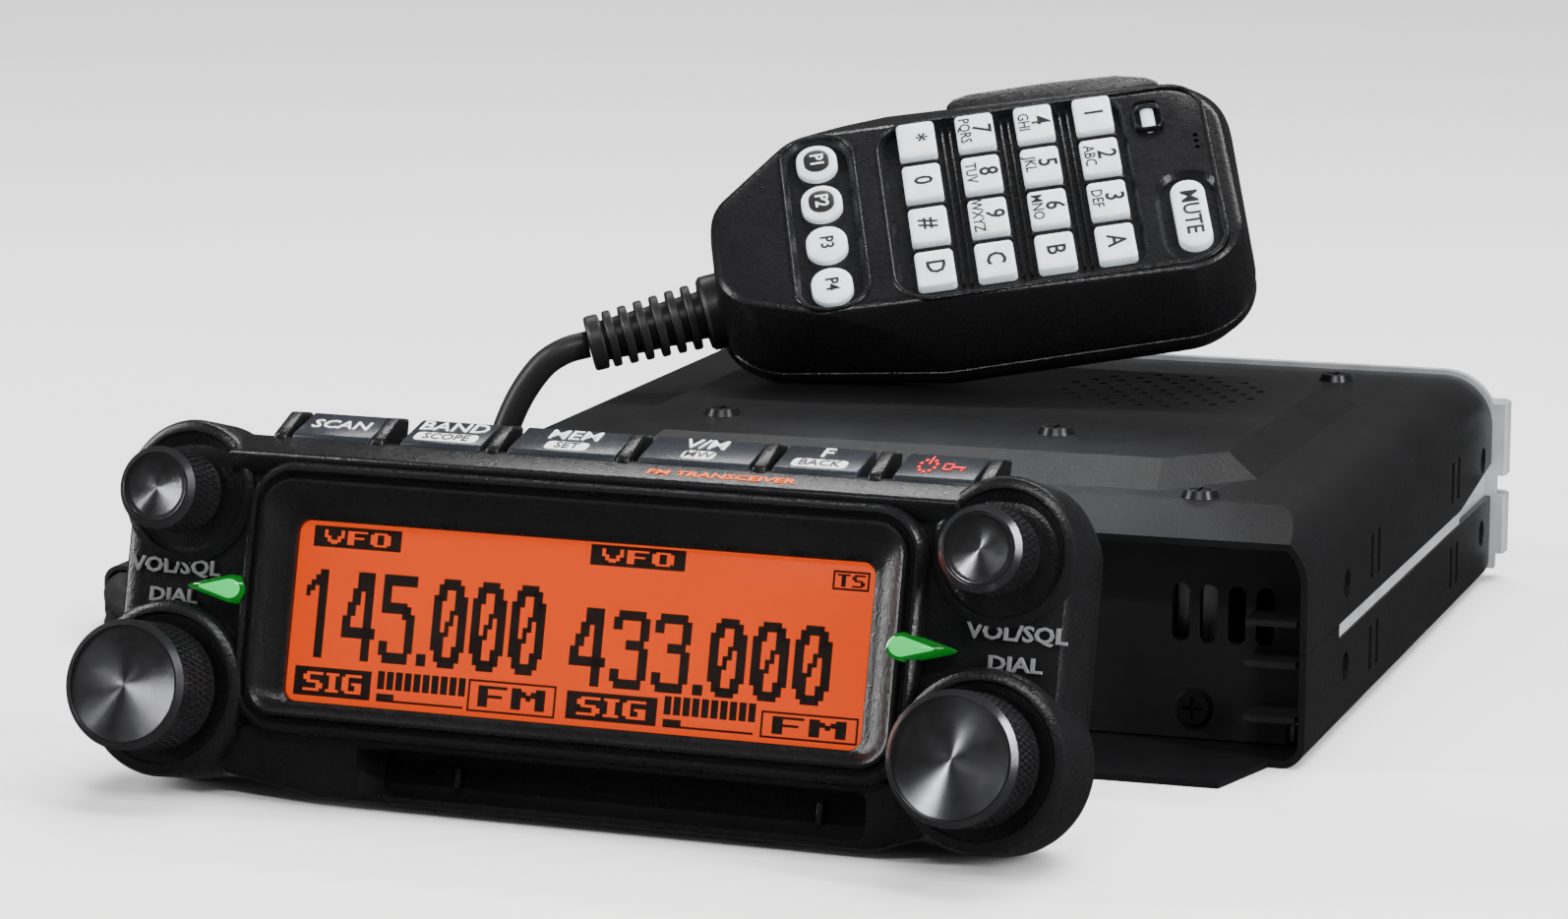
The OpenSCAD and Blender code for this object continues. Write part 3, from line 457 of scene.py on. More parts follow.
CORD = 0.0045
EXIT = [(-68.5, 7.6, 42.8), (-71.7, 6.2, 41.9), (-75, 5.2, 39.8), (-77.8, 4.8, 36.4), (-79.8, 4.2, 32.8),
        (-81.6, 3.8, 28.4), (-83, 3.4, 23.6), (-84, 2.6, 18.8), (-84.8, 0.6, 14.4), (-85, -3.2, 11.2),
        (-84.4, -8.4, 9), (-83.2, -13.6, 7.2)]
LEAD = [(-78, -44, 2.3), (-78, -58, 2.3), (-77.8, -72, 2.3), (-77, -82, 2.3), (-74.4, -91, 2.3),
        (-69.2, -98, 2.3),
        (-62.4, -102.4, 2.4), (-55, -104.6, 3.2), (-48.6, -105, 5.4), (-43.2, -104.2, 8.8),
        (-38.8, -101.6, 12.8),
        (-36.6, -97.8, 15.2), (-36, -94, 16), (-36, -90.2, 16)]
COIL_MIDDLE = (-104, -32)
COIL_RADIUS = 26
TURNS = 4
PER_TURN = 24


def eased(value, start, run):
    share = min(1, max(0, (value - start) / run))
    return share * share * (3 - 2 * share)


def coil_points():
    """Clockwise turns: outer then inner on the upper layer, inner then outer on the lower one."""
    count = TURNS * PER_TURN + 2
    points = []
    for i in range(count + 1):
        turn = i / PER_TURN
        radius = (COIL_RADIUS + 2.25 * eased(turn, 0, 0.2) - 4.5 * eased(turn, 0.9, 0.2)
                  + 4.5 * eased(turn, 2.9, 0.2))
        radius -= 2.25 * eased(turn, 3.95, 0.13)
        angle = math.radians(30 - 360 * turn * (TURNS + 30 / 360) / (count / PER_TURN))
        height = 6.75 - 4.5 * eased(turn, 1.9, 0.2)
        points.append((COIL_MIDDLE[0] + radius * math.cos(angle), COIL_MIDDLE[1] + radius * math.sin(angle),
                       height))
    return points


def flowing(points, parts):
    """A smooth line through points, each stretch in parts (Catmull and Rom's curve)."""
    line = [points[0]]
    padded = [2 * points[0] - points[1]] + points + [2 * points[-1] - points[-2]]
    for a, b, c, d in zip(padded, padded[1:], padded[2:], padded[3:]):
        for i in range(1, parts + 1):
            t = i / parts
            line.append(0.5 * (2 * b + (c - a) * t + (2 * a - 5 * b + 4 * c - d) * t ** 2
                               + (3 * b - a - 3 * c + d) * t ** 3))
    return line


def make_cord():
    points = flowing([Vector(p) * MM for p in EXIT + coil_points() + LEAD], 3)
    curve = bpy.data.curves.new("cord_line", "CURVE")
    curve.dimensions = "3D"
    curve.bevel_depth = CORD / 2
    curve.bevel_resolution = 4
    curve.use_fill_caps = True
    spline = curve.splines.new("POLY")
    spline.points.add(len(points) - 1)
    for control, point in zip(spline.points, points):
        control.co = (*point, 1)
    line = bpy.data.objects.new("cord_line", curve)
    bpy.context.collection.objects.link(line)
    mesh = bpy.data.meshes.new_from_object(line.evaluated_get(bpy.context.evaluated_depsgraph_get()))
    bpy.data.objects.remove(line)
    bpy.data.curves.remove(curve)
    bm = bmesh.new()
    bm.from_mesh(mesh)
    bpy.data.meshes.remove(mesh)
    bmesh.ops.remove_doubles(bm, verts=bm.verts, dist=0.000001)
    bmesh.ops.recalc_face_normals(bm, faces=bm.faces)
    mesh = bpy.data.meshes.new("microphone_cord")
    bm.to_mesh(mesh)
    bm.free()
    mesh.shade_smooth()
    mesh.materials.append(cord_rubber)
    cord = bpy.data.objects.new("microphone_cord", mesh)
    bpy.context.collection.objects.link(cord)
    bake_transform(cord)
    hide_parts("cord_tube", "cord_coil")
    length = sum((b - a).length for a, b in zip(points, points[1:]))
    return cord, points, length


def make_cord_tie():
    """A hook-and-loop strap round the coil's far side."""
    bm = bmesh.new()
    x, y = COIL_MIDDLE[0] - 26, COIL_MIDDLE[1]
    outer = rounded(-5.2, 0, 5.2, 9.9, 2.6, 0)
    inner = rounded(-4.6, 0.1, 4.6, 9.2, 2.3, 0)
    rings = [[Vector((x + p.x, y + side, p.y)) for p in ring]
             for ring, side in ((outer, -5), (outer, 5), (inner, 5), (inner, -5))]
    loft(bm, rings, ring_closed=True)
    bmesh.ops.recalc_face_normals(bm, faces=bm.faces)
    return piece("cord_tie", bm, UNIT, [cord_rubber], "root")


def make_mic_plug():
    """Modular plug in its socket, with a ribbed boot that runs out to the cord."""
    bm = bmesh.new()
    low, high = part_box("mic_plug")
    middle = Vector(((low[0] + high[0]) / 2, high[1], (low[2] + high[2]) / 2)) / MM
    length = (high[1] - low[1]) / MM
    body = 19.0
    part = bmesh.new()
    box(part, -5.7, -3.8, 0, 5.7, 3.8, body, 0.5)
    box(part, -2.8, 3.6, 4, 2.8, 4.6, body + 1, 0.3)
    profile = [(0, body - 0.5), (3.9, body - 0.5)]
    ribs = 5
    for i in range(ribs):
        start = body + 1 + i * 3.0
        profile += [(3.9 - 0.12 * i, start), (3.9 - 0.12 * i, start + 1.6), (3.2 - 0.1 * i, start + 1.8),
                    (3.2 - 0.1 * i, start + 2.8)]
    profile += [(2.9, length), (0, length)]
    turned(part, profile, steps=32)
    add(bm, part, Matrix.Translation(middle) @ Matrix.Rotation(math.radians(90), 4, "X"))
    return piece("microphone_plug", bm, UNIT, [inlet_plastic], "root", ["mic_plug"])


make_camera()
cord, cord_path, cord_length = make_cord()
tie = make_cord_tie()
plug = make_mic_plug()


# --- CAD pieces that keep their shape and get their finish ---

FINISHES = {
    cover_paint: ["upper_cover", "lower_cover", "head_bracket"], plate_paint: ["front_plate"],
    casting: ["chassis"],
    screw_black: ["case_screws"], board_mask: ["main_board", "head_board", "mic_board"],
    speaker_paper: ["speaker"], inlet_plastic: ["fan_rotor", "fan_motor", "power_inlet", "front_jacks"],
    socket_plate: ["antenna_socket"], head_plastic: ["head_rear_case"], window_clear: ["lcd_window"],
    encoder_steel: ["encoders"]}
for finish, names in FINISHES.items():
    for name in names:
        for material_slot in frame["nodes"][name].material_slots:
            material_slot.material = finish


# --- Control head ---

def frame_ring(x0, y0, x1, y1, r, inset, z):
    return rounded(x0 + inset, y0 + inset, x1 - inset, y1 - inset, max(0.4, r - inset), z, 8)


BEZEL = (-49.5, -17.2, 49.8, 20.4, 7)
CASE = (-69.5, -22.5, 69.5, 23.5, 9)
GLASS = (-42.4, -12.5, 42.4, 12.5, 1.8)
SMALL_BOSS = (10.35, 0.7)
LARGE_BOSS = (12.3, 3.5)
KNOBS = {"left_small_knob": (-1, SMALL_Y), "left_large_knob": (-1, LARGE_Y),
         "right_small_knob": (1, SMALL_Y), "right_large_knob": (1, LARGE_Y)}


def bezel(bm):
    """Raised double-stepped surround that slopes down to the display."""
    depths = [(0, -1), (0, 1.7), (0.25, 2.4), (0.8, 2.9), (1.25, 2.95), (1.5, 2.3), (1.7, 2.0), (2.1, 1.95),
              (2.3, 2.3), (2.5, 2.9), (2.9, 2.95), (3.4, 2.7), (3.8, 2.3)]
    rings = [frame_ring(*BEZEL, inset, z) for inset, z in depths]
    rings += [frame_ring(*GLASS, inset, z) for inset, z in ((-0.9, 0.75), (-0.25, 0.62), (0, 0.4), (0, -1))]
    loft(bm, rings, ring_closed=True)


def case_body(bm):
    depths = [(0, -11.45), (0, -3.2), (0.35, -1.6), (1.1, -0.55), (2.2, -0.1), (3.4, 0)]
    rings = [frame_ring(*CASE, inset, z) for inset, z in depths]
    rings += [frame_ring(*GLASS, -1.5, z) for z in (-0.05, -10)]
    case = bmesh.new()
    loft(case, rings, ring_closed=True)
    bmesh.ops.recalc_face_normals(case, faces=case.faces)
    add(bm, cut(case, panel_cutters()))


def boss(bm, x, y, size):
    """A boss with a shallow dish, under a knob."""
    r, top = size
    profile = [(3.2, -9), (r - 2, -9), (r, -9), (r, top - 1.4), (r - 0.4, top - 0.5), (r - 1.1, top - 0.05),
               (r - 1.7, top), (r - 2.0, top - 0.5), (r - 2.4, top - 0.55), (r - 3.2, top - 1.0),
               (3.2, top - 1.3), (3.2, -9)]
    turned(bm, profile, x, y, 72)


def top_strip(bm):
    """Sloping strip between the bezel and the keys, and the ribs between the keys."""
    outline = [(17, -1), (20.7, 2.1), (21.4, 1.9), (CASE[3], -2.2), (CASE[3] + 0.5, -3.4),
               (CASE[3] + 0.5, -11),
               (17, -11)]
    half = HALF_SPAN - 6.35
    prism(bm, outline, -half, half, 0.35, 2, "x")
    for x in (-48.0, -33.2, -15.8, 3.6, 23.4, 39.9, 55.4):
        rib = [(22.0, -2.2), (24.3, -2.4), (27.8, -7.2), (28.1, -10.9), (22, -11)]
        prism(bm, rib, x - 1.0, x + 1.0, 0.45, 3, "x")


def panel_cutters():
    """The sunk panel under the bezel, and the ramp at its left end."""
    panel = [rounded(-27, -24.4, 44, -17.9, 1.4, z, 5) for z in (-3.0, 3)]
    ramp_low = [Vector(p) for p in ((-30, -24.2, -0.2), (-30, -18.2, -0.2), (-26, -18.2, -2.9),
                                    (-26, -24.2, -2.9))]
    ramp_top = [Vector(p) for p in ((-31, -24.4, 3), (-31, -18.1, 3), (-26, -18.1, 3), (-26, -24.4, 3))]
    return [cutter(panel), cutter([ramp_low, ramp_top])]


def chin(bm):
    """Deep lower lip with sloping ends and a long sunk panel that has two small ribs."""
    lip = bmesh.new()
    sections = []
    for x, drop, back in ((-52, 0, 0), (-50.5, 1.2, 0.8), (-38, 3.0, 0), (-36, 3.3, 0), (44, 3.3, 0),
                          (46, 3.0, 0),
                          (51, 1.2, 0.8), (52.5, 0, 0)):
        low = -22.2 - drop
        sections.append([Vector((x, y, z)) for y, z in (
            (-16.5, 0.9 - back), (-18.5, 0.7 - back), (low + 0.8, -0.1 - back), (low + 0.15, -0.6 - back),
            (low, -1.4 - back), (min(low + 1.6, -22.2), -11.4), (-16.5, -11.4))])
    loft(lip, sections)
    bmesh.ops.recalc_face_normals(lip, faces=lip.faces)
    lip = cut(lip, panel_cutters())
    add(bm, lip)
    for x in (-15.9, 36.7):
        box(bm, x - 0.4, -22.6, -3.2, x + 0.4, -19.6, -1.7, 0.2)


def raised_words(bm):
    # Slot 1 gives the letters the lighter grey of the painted highlight.
    for x in (-60.7, 62.6):
        lettering(bm, "VOL/SQL", 2.9, Matrix.Translation((x, 4.6, 0.05)), 1, 0.0, 1.2, 0.2, 0.09)
        lettering(bm, "DIAL", 2.7, Matrix.Translation((x, 0.5, 0.05)), 1, 0.0, 1.3, 0.2, 0.09)


def make_head_front():
    bm = bmesh.new()
    case_body(bm)
    bezel(bm)
    for side, y in KNOBS.values():
        boss(bm, side * HALF_SPAN, y, SMALL_BOSS if y > 0 else LARGE_BOSS)
    top_strip(bm)
    chin(bm)
    raised_words(bm)
    bmesh.ops.recalc_face_normals(bm, faces=bm.faces)
    piece("head_front", bm, HEAD, [head_plastic, word_painted_highlight], "head", ["head_front_case"])


def make_top_words():
    bm = bmesh.new()
    slope = Matrix.Translation((19, 22.5, -0.12)) @ Matrix.Rotation(math.radians(-62.9), 4, "X")
    lettering(bm, "FM TRANSCEIVER", 2.2, slope, 0, 0.03, 1.25, 0.06)
    piece("head_label", bm, HEAD, [ink_orange], "head")


def make_lamps():
    """Teardrop indicators: a blunt end at the display, a point outwards, and a bright bevelled core."""
    bm = bmesh.new()
    for x, side, y in ((-50, -1, 2.1), (47.2, 1, 1.7)):
        part = bmesh.new()
        rings = []
        for inset, z in ((0, -1.5), (0, 2.6), (0.2, 3.2), (0.6, 3.5), (0.75, 3.55), (1.05, 3.75)):
            ring = []
            for i in range(32):
                turn = 2 * math.pi * i / 32
                along = math.cos(turn)
                reach = 2.4 + 4.4 * max(0, along) ** 1.5
                wide = 1.95 * (1 - 0.45 * max(0, along) ** 2)
                scale = 1 - inset / 1.95
                ring.append(Vector((side * (0.6 + reach * along * scale), wide * math.sin(turn) * scale, z)))
            rings.append(ring)
        loft(part, rings)
        bmesh.ops.recalc_face_normals(part, faces=part.faces)
        for face in part.faces:
            face.material_index = 1 if face.calc_center_median().z > 3.52 else 0
        add(bm, part, Matrix.Translation((x, y, 0)))
    piece("indicator_lamps", bm, HEAD, [lamp_green, lamp_core], "head", ["side_lamps"])


def make_knob(name, side, y):
    """Knurled side in offset rows, a bright bevelled rim and a face with fine turned rings."""
    small = y > 0
    r = 5.75 if small else 9.0
    base = (SMALL_BOSS if small else LARGE_BOSS)[1] + 0.2
    tip = base + (9.8 if small else 11.1)
    bm = bmesh.new()
    part = bmesh.new()
    rows = 4 if small else 5
    teeth = 44 if small else 64
    skirt = 1.4
    grip_top = tip - 1.5
    heights = [base + skirt + (grip_top - base - skirt) * i / rows for i in range(rows + 1)]
    bmesh.ops.create_circle(part, cap_ends=False, radius=r - 0.3, segments=teeth * 2)
    bmesh.ops.translate(part, vec=(0, 0, heights[0]), verts=part.verts)
    for i in range(rows):
        edges = [e for e in part.edges if all(abs(v.co.z - heights[i]) < 1e-4 for v in e.verts)]
        made = bmesh.ops.extrude_edge_only(part, edges=edges)
        fresh = [g for g in made["geom"] if isinstance(g, bmesh.types.BMVert)]
        bmesh.ops.translate(part, vec=(0, 0, heights[i + 1] - heights[i]), verts=fresh)
    bmesh.ops.recalc_face_normals(part, faces=part.faces)
    raised = []
    for face in part.faces:
        middle = face.calc_center_median()
        column = int((math.atan2(middle.y, middle.x) % (2 * math.pi)) / math.pi * teeth)
        row = int((middle.z - heights[0]) / (heights[1] - heights[0]))
        if (column + row) % 2 == 0:
            raised.append(face)
    bmesh.ops.inset_individual(part, faces=raised, thickness=0.07, depth=0.3)
    add(bm, part, slot=0)
    profile = [(r - 0.3, grip_top), (r - 0.12, grip_top + 0.1), (r, grip_top + 0.35), (r, tip - 0.75),
               (r - 0.75, tip - 0.02), (r - 0.85, tip), (r - 0.95, tip - 0.25)]
    turned(bm, profile, steps=96, slot=0)
    groove = 0.22
    face_r = r - 0.95
    count = int(face_r / groove)
    face_profile = [(face_r, tip - 0.25)]
    for i in range(count, 0, -1):
        dish = 0.35 * (1 - (i / count) ** 2)
        face_profile += [((i - 0.5) * groove, tip - 0.21 - dish),
                         (max(0, (i - 1) * groove), tip - 0.25 - dish)]
    turned(bm, face_profile, steps=96, slot=1)
    shaft = [(0, base - 3), (3, base - 3), (3, base), (r - 0.5, base), (r - 0.35, base + 0.2),
             (r - 0.3, base + skirt)]
    turned(bm, shaft, steps=96, slot=0)
    bmesh.ops.remove_doubles(bm, verts=bm.verts, dist=0.001)
    bmesh.ops.translate(bm, vec=(side * HALF_SPAN, y, 0), verts=bm.verts)
    piece(name + "_turned", bm, HEAD, [knob_plastic, knob_face], name, [name], 25)


TOP_KEYS = [("SCAN", ""), ("BAND", "SCOPE"), ("MEM", "SET"), ("V/M", "MW"), ("F", "BACK"), ("", "")]


def outline_box(bm, x0, y0, x1, y1, line, z, slot, thick=0.05):
    for a, b, c, d in ((x0, y0, x1, y0 + line), (x0, y1 - line, x1, y1), (x0, y0, x0 + line, y1),
                       (x1 - line, y0, x1, y1)):
        part = bmesh.new()
        box(part, a, b, z - thick, c, d, z + thick)
        add(bm, part, slot=slot)


def power_mark():
    """A ring with a bar, and a small key."""
    part = bmesh.new()
    for k in range(9):
        turn = math.radians(125 + 290 * k / 8)
        box(part, 1.0 * math.cos(turn) - 0.18, 1.0 * math.sin(turn) - 0.18, -0.05,
            1.0 * math.cos(turn) + 0.18, 1.0 * math.sin(turn) + 0.18, 0.05)
    box(part, -0.12, 0.2, -0.05, 0.12, 1.5, 0.05)
    box(part, 3.0, -0.12, -0.05, 4.6, 0.12, 0.05)
    box(part, 4.2, -0.6, -0.05, 4.4, 0, 0.05)
    outline_box(part, 1.9, -0.55, 3.1, 0.55, 0.2, 0, 0)
    return part


def make_top_key(index):
    name = "top_key_%d" % index
    spans = [(-46.4, -34.4), (-29.8, -17.8), (-13.7, 2.3), (5.6, 21.8), (25.1, 37.3), (42.3, 53.7)]
    x0, x1 = spans[index - 1]
    bm = bmesh.new()
    outline = [(20, -10.6), (27.6, -10.6), (28, -10.1), (27.95, -9.5), (24.5, -3.1), (23.8, -2.8), (20, -2.8)]
    prism(bm, outline, x0, x1, 0.5, 3, "x")
    middle = (x0 + x1) / 2
    face = Matrix.Translation((middle, 26.22, -6.3)) @ Matrix.Rotation(math.radians(-61.6), 4, "X")
    upper, lower = TOP_KEYS[index - 1]
    if upper:
        lettering(bm, upper, 4.0 if lower else 3.6,
                  face @ Matrix.Translation((0, 1.7 if lower else 0, 0.05)), 1, 0.03, 0.95)
    if lower:
        half = 0.78 * len(lower) + 0.8
        plate = bmesh.new()
        prism(plate, [(p.x, p.y) for p in rounded(-half, -2.9, half, -0.35, 0.8, 0, 4)], -0.1, 0.06)
        add(bm, plate, face, 1)
        lettering(bm, lower, 2.6, face @ Matrix.Translation((0, -1.62, 0.09)), 2, 0.012, 0.9)
    if index == 6:
        add(bm, power_mark(), face @ Matrix.Translation((-1.9, 0, 0.07)) @ Matrix.Diagonal((1.15, 2.0, 1,
                                                                                            1)), 3)
    piece(name + "_cap", bm, HEAD, [top_key_plastic, ink_white, ink_black, ink_red], name, [name])


# --- Display ---

BIG = {
    "0": [(2, 14, 6, 16), (2, 0, 6, 2), (0, 3, 2, 13), (6, 3, 8, 13), (1, 12, 3, 15), (5, 12, 7, 15),
          (1, 1, 3, 4),
          (5, 1, 7, 4), (2, 4, 3, 6.4), (3, 5.6, 4, 8.4), (4, 7.6, 5, 10.4), (5, 9.6, 6, 12)],
    "1": [(3, 0, 5, 16), (2, 13, 3, 15), (1, 12, 2, 14), (0, 11, 1, 13)],
    "3": [(1, 14, 7, 16), (6, 10, 8, 14.6), (0, 12, 2, 14.6), (3, 8, 7, 10), (6, 2, 8, 8.5), (1, 0, 7, 2),
          (0, 1.4, 2, 4)],
    "4": [(5, 0, 7, 16), (0, 4, 8, 6), (0, 6, 2, 8), (1, 8, 3, 10.5), (2, 10, 4, 13), (3, 12.5, 5, 16)],
    "5": [(0, 14, 8, 16), (0, 9, 2, 14), (2, 9, 6, 11), (5, 8, 7, 10.4), (6, 2, 8, 9), (1, 0, 7, 2),
          (0, 1.4, 2, 4)],
    ".": [(0, 0, 2.2, 2.2)]}


def flat(bm, x0, y0, x1, y1, z=0.0, slot=1):
    part = bmesh.new()
    box(part, x0, y0, z - 0.03, x1, y1, z + 0.03)
    add(bm, part, slot=slot)


def big_number(bm, digits, x, y, width, height):
    """A frequency in tall block figures, fitted into width."""
    cells = sum(3 if d == "." else 9.2 for d in digits) - 1.2
    cell_x, cell_y = width / cells, height / 16
    for digit in digits:
        for x0, y0, x1, y1 in BIG[digit]:
            flat(bm, x + x0 * cell_x, y + y0 * cell_y, x + x1 * cell_x, y + y1 * cell_y)
        x += (3 if digit == "." else 9.2) * cell_x


PIXELS = {
    "V": ["X....X", "X....X", "X....X", "XX..XX", ".X..X.", ".XXXX.", "..XX.."],
    "F": ["XXXXXX", "XX....", "XX....", "XXXXX.", "XX....", "XX....", "XX...."],
    "O": [".XXXX.", "XX..XX", "XX..XX", "XX..XX", "XX..XX", "XX..XX", ".XXXX."],
    "S": [".XXXXX", "XX....", "XX....", ".XXXX.", "....XX", "....XX", "XXXXX."],
    "I": ["XXXX", ".XX.", ".XX.", ".XX.", ".XX.", ".XX.", "XXXX"],
    "G": [".XXXXX", "XX....", "XX....", "XX.XXX", "XX..XX", "XX..XX", ".XXXXX"],
    "M": ["XX...XX", "XXX.XXX", "XXXXXXX", "XX.X.XX", "XX...XX", "XX...XX", "XX...XX"],
    "T": ["XXXXXX", "..XX..", "..XX..", "..XX..", "..XX..", "..XX..", "..XX.."]}


def tag(bm, words, x0, y0, x1, y1, boxed=False):
    """A small word of square dots, dark on light in a box, or light on a dark bar."""
    if boxed:
        outline_box(bm, x0, y0, x1, y1, 0.28, 0, 1, 0.03)
    else:
        flat(bm, x0, y0, x1, y1)
    cells = sum(len(PIXELS[letter][0]) + 1 for letter in words) - 1
    dot_x, dot_y = (x1 - x0) * 0.76 / cells, (y1 - y0) * 0.66 / 7
    left, top = x0 + (x1 - x0) * 0.12, y1 - (y1 - y0) * 0.17
    for letter in words:
        for row, line in enumerate(PIXELS[letter]):
            for run in re.finditer("X+", line):
                flat(bm, left + run.start() * dot_x, top - (row + 1) * dot_y, left + run.end() * dot_x,
                     top - row * dot_y, 0.05, 1 if boxed else 0)
        left += (len(PIXELS[letter][0]) + 1) * dot_x


def make_display():
    bm = bmesh.new()
    part = bmesh.new()
    box(part, GLASS[0] - 1, GLASS[1] - 1, -3.6, GLASS[2] + 1, GLASS[3] + 1, -0.42, 0.2)
    add(bm, part, slot=0)
    drawn = bmesh.new()
    tag(drawn, "VFO", -40.2, 9.0, -27.0, 11.9)
    tag(drawn, "VFO", 1.2, 9.4, 15.0, 12.2)
    tag(drawn, "TS", 36.2, 8.6, 41.4, 11.2, True)
    big_number(drawn, "145.000", -40.6, -6.3, 36.0, 12.2)
    big_number(drawn, "433.000", -0.6, -7.0, 37.6, 10.6)
    tag(drawn, "SIG", -41.2, -11.6, -29.6, -7.6)
    tag(drawn, "SIG", -0.4, -11.6, 12.8, -7.8)
    for x in (-28.6, 13.8):
        for i in range(10):
            flat(drawn, x + 1.35 * i, -9.9, x + 1.35 * i + 1.0, -7.4)
        flat(drawn, x, -11.4, x + 2.6, -10.5)
        flat(drawn, x, -11.6, x + 13, -11.3)
    tag(drawn, "FM", -15.0, -11.8, -2.0, -7.4, True)
    tag(drawn, "FM", 27.8, -11.8, 41.6, -8.2, True)
    bmesh.ops.translate(drawn, vec=(0, 0, -0.4), verts=drawn.verts)
    add(bm, drawn)
    piece("display", bm, HEAD, [display_orange, pixel_dark], "head", ["lcd_panel"])


make_head_front()
make_top_words()
make_lamps()
make_display()
for knob_name, (knob_side, knob_y) in KNOBS.items():
    make_knob(knob_name, knob_side, knob_y)
for number in range(1, 7):
    make_top_key(number)


# --- Microphone ---

WIDE = [(24, 16, 13.5), (24.5, -13, 12.5), (-8, 19.5, 12), (-14, -13, 12.5), (-38, 6, 13), (-38, -8, 13)]
FACE = [(25, 9, 10.5), (25, -13, 10.5), (-13, 10.5, 9.5), (-13, -13.5, 9.5), (-41, 2, 9), (-41, -9, 9),
        (-31.6, 12, 8.6), (-31.6, -13.6, 8.2)]
EDGE = [(24, -12.5, 11), (-13, -12.8, 10.6), (-36, -7.5, 11), (20, 9, 14), (-8, 12, 12), (-36, 2, 11)]
BACK = [(20, 8, 10), (20, -5, 8), (-8, 8, 9), (-12, -4, 7), (-36, 2, 7)]


def ridge(bm, corners, r, width, low, high):
    """A rounded ridge that follows a rounded rectangle."""
    part = bmesh.new()
    steps = [(0, low), (0.1 * width, high - 0.12), (0.3 * width, high - 0.02), (0.7 * width, high),
             (0.9 * width, high - 0.1), (width, low + 0.05)]
    x0, y0, x1, y1 = corners
    loft(part, [rounded(x0 + i, y0 + i, x1 - i, y1 - i, r - i, z, 8) for i, z in steps], ring_closed=True)
    bmesh.ops.recalc_face_normals(part, faces=part.faces)
    add(bm, part)


def make_mic_front():
    bm = bmesh.new()
    wide = lambda z, inset: round_hull(WIDE, z, inset)
    flat_top = lambda z, inset: round_hull(FACE, z, inset)
    rings = [wide(-13.95, 0.5), wide(-13.7, 0.15), wide(-12.5, 0),
             between(wide(-11, 0), flat_top(-11, 0), 0.04)]
    rings += [between(wide(z, 0), flat_top(z, 0), share)
              for z, share in ((-8, 0.2), (-5, 0.45), (-2.8, 0.72), (-1.6, 0.9))]
    rings += [flat_top(-0.9, 0.1), flat_top(-0.5, 0.6), flat_top(-0.32, 1.4)]
    loft(bm, rings)
    bmesh.ops.recalc_face_normals(bm, faces=bm.faces)
    half_u, half_v = 2 * PITCH_U, 2 * PITCH_V
    cutters = [recess(-half_u - 0.6, -half_v - 0.6, half_u - 0.6, half_v - 1.4, 3.5, -1.7, 0.9, 0.5)]
    cutters.append(recess(-36.6, -20, -26.6, 18.2, 4.4, -1.6, 1.2, 0.5))
    cutters.append(recess(22.9, -21.2, 32.1, -1.8, 4.4, -1.2, 1.6, 0.5))
    cutters.append(recess(21.4, 8.0, 25.6, 16.4, 1.2, -0.7, 0.2, 0.5))
    for i in range(3):
        cutters.append(cutter([[Vector((30.6 + 0.45 * math.cos(t), 4.0 + 1.4 * i + 0.45 * math.sin(t), z))
                                for t in [math.pi / 4 * k for k in range(8)]] for z in (-2, 1)]))
    bm = cut(bm, cutters)
    for column in (-1, 0, 1):
        for side in (-1, 1):
            x = column * PITCH_U + side * 0.62
            box(bm, x - 0.2, -half_v + 1.2, -1.8, x + 0.2, half_v - 2.4, -1.0, 0.12)
    for column in range(4):
        for row in (-1, 0, 1):
            x, y = (1.5 - column) * PITCH_U, row * PITCH_V
            box(bm, x - 3.3, y - 0.42, -1.8, x + 3.3, y + 0.42, -0.75, 0.25)
    ridge(bm, (-38.0, -21.3, -25.2, 19.5), 5.4, 0.7, -0.7, 0.0)
    ridge(bm, (20.9, 9.2, 26.1, 15.2), 1.9, 0.6, -0.6, 0.35)
    ridge(bm, (-half_u - 2.4, -half_v - 1.9, half_u + 13.4, half_v - 0.4), 6.5, 0.8, -0.8, -0.1)
    piece("mic_front", bm, MIC, [mic_plastic], "mic", ["mic_front_case"], 28)


def make_mic_rear():
    bm = bmesh.new()
    wide = lambda z, inset: round_hull(WIDE, z, inset)
    edge = lambda z, inset: round_hull(EDGE, z, inset)
    back = lambda z, inset: round_hull(BACK, z, inset)
    rings = [wide(-14.05, 0.5), wide(-14.3, 0.1), wide(-15.5, 0), wide(-16.2, 0.15)]
    rings += [between(wide(z, 0), edge(z, 0), share) for z, share in ((-17.4, 0.5), (-18.9, 0.95))]
    rings += [between(edge(z, 0), back(z, 0), share) for z, share in ((-21, 0.3), (-23, 0.6), (-24.6, 0.85))]
    rings += [back(-25.6, 0.6), back(-26, 2)]
    loft(bm, rings)
    bmesh.ops.recalc_face_normals(bm, faces=bm.faces)
    piece("mic_rear", bm, MIC, [mic_plastic], "mic", ["mic_rear_case"], 35)


def make_strain_relief():
    bm = bmesh.new()
    start, end = Vector((-50.2, -6.4, -11.6)), Vector((-72.6, -9.6, -11.9))
    run = (end - start).length
    profile = [(0, -4), (6.0, -4), (6.2, -1), (6.2, 2.6), (5.6, 3.2), (4.0, 3.4)]
    ribs = 6
    for i in range(ribs):
        z = 4.6 + 2.7 * i
        r = 5.4 - 0.14 * i
        neck = 3.9 - 0.1 * i
        profile += [(neck, z - 0.1), (r - 0.2, z), (r, z + 0.25), (r, z + 1.15), (r - 0.2, z + 1.4),
                    (neck, z + 1.5)]
    profile += [(3.3, run - 2.6), (4.4, run - 2.4), (4.6, run - 2.1), (4.6, run - 0.4), (4.3, run), (0, run)]
    turned(bm, profile, steps=40)
    turn = (end - start).to_track_quat("Z", "Y").to_matrix().to_4x4()
    bm.transform(Matrix.Translation(start) @ turn)
    piece("mic_relief", bm, MIC, [cord_rubber], "mic", ["mic_strain_relief"])


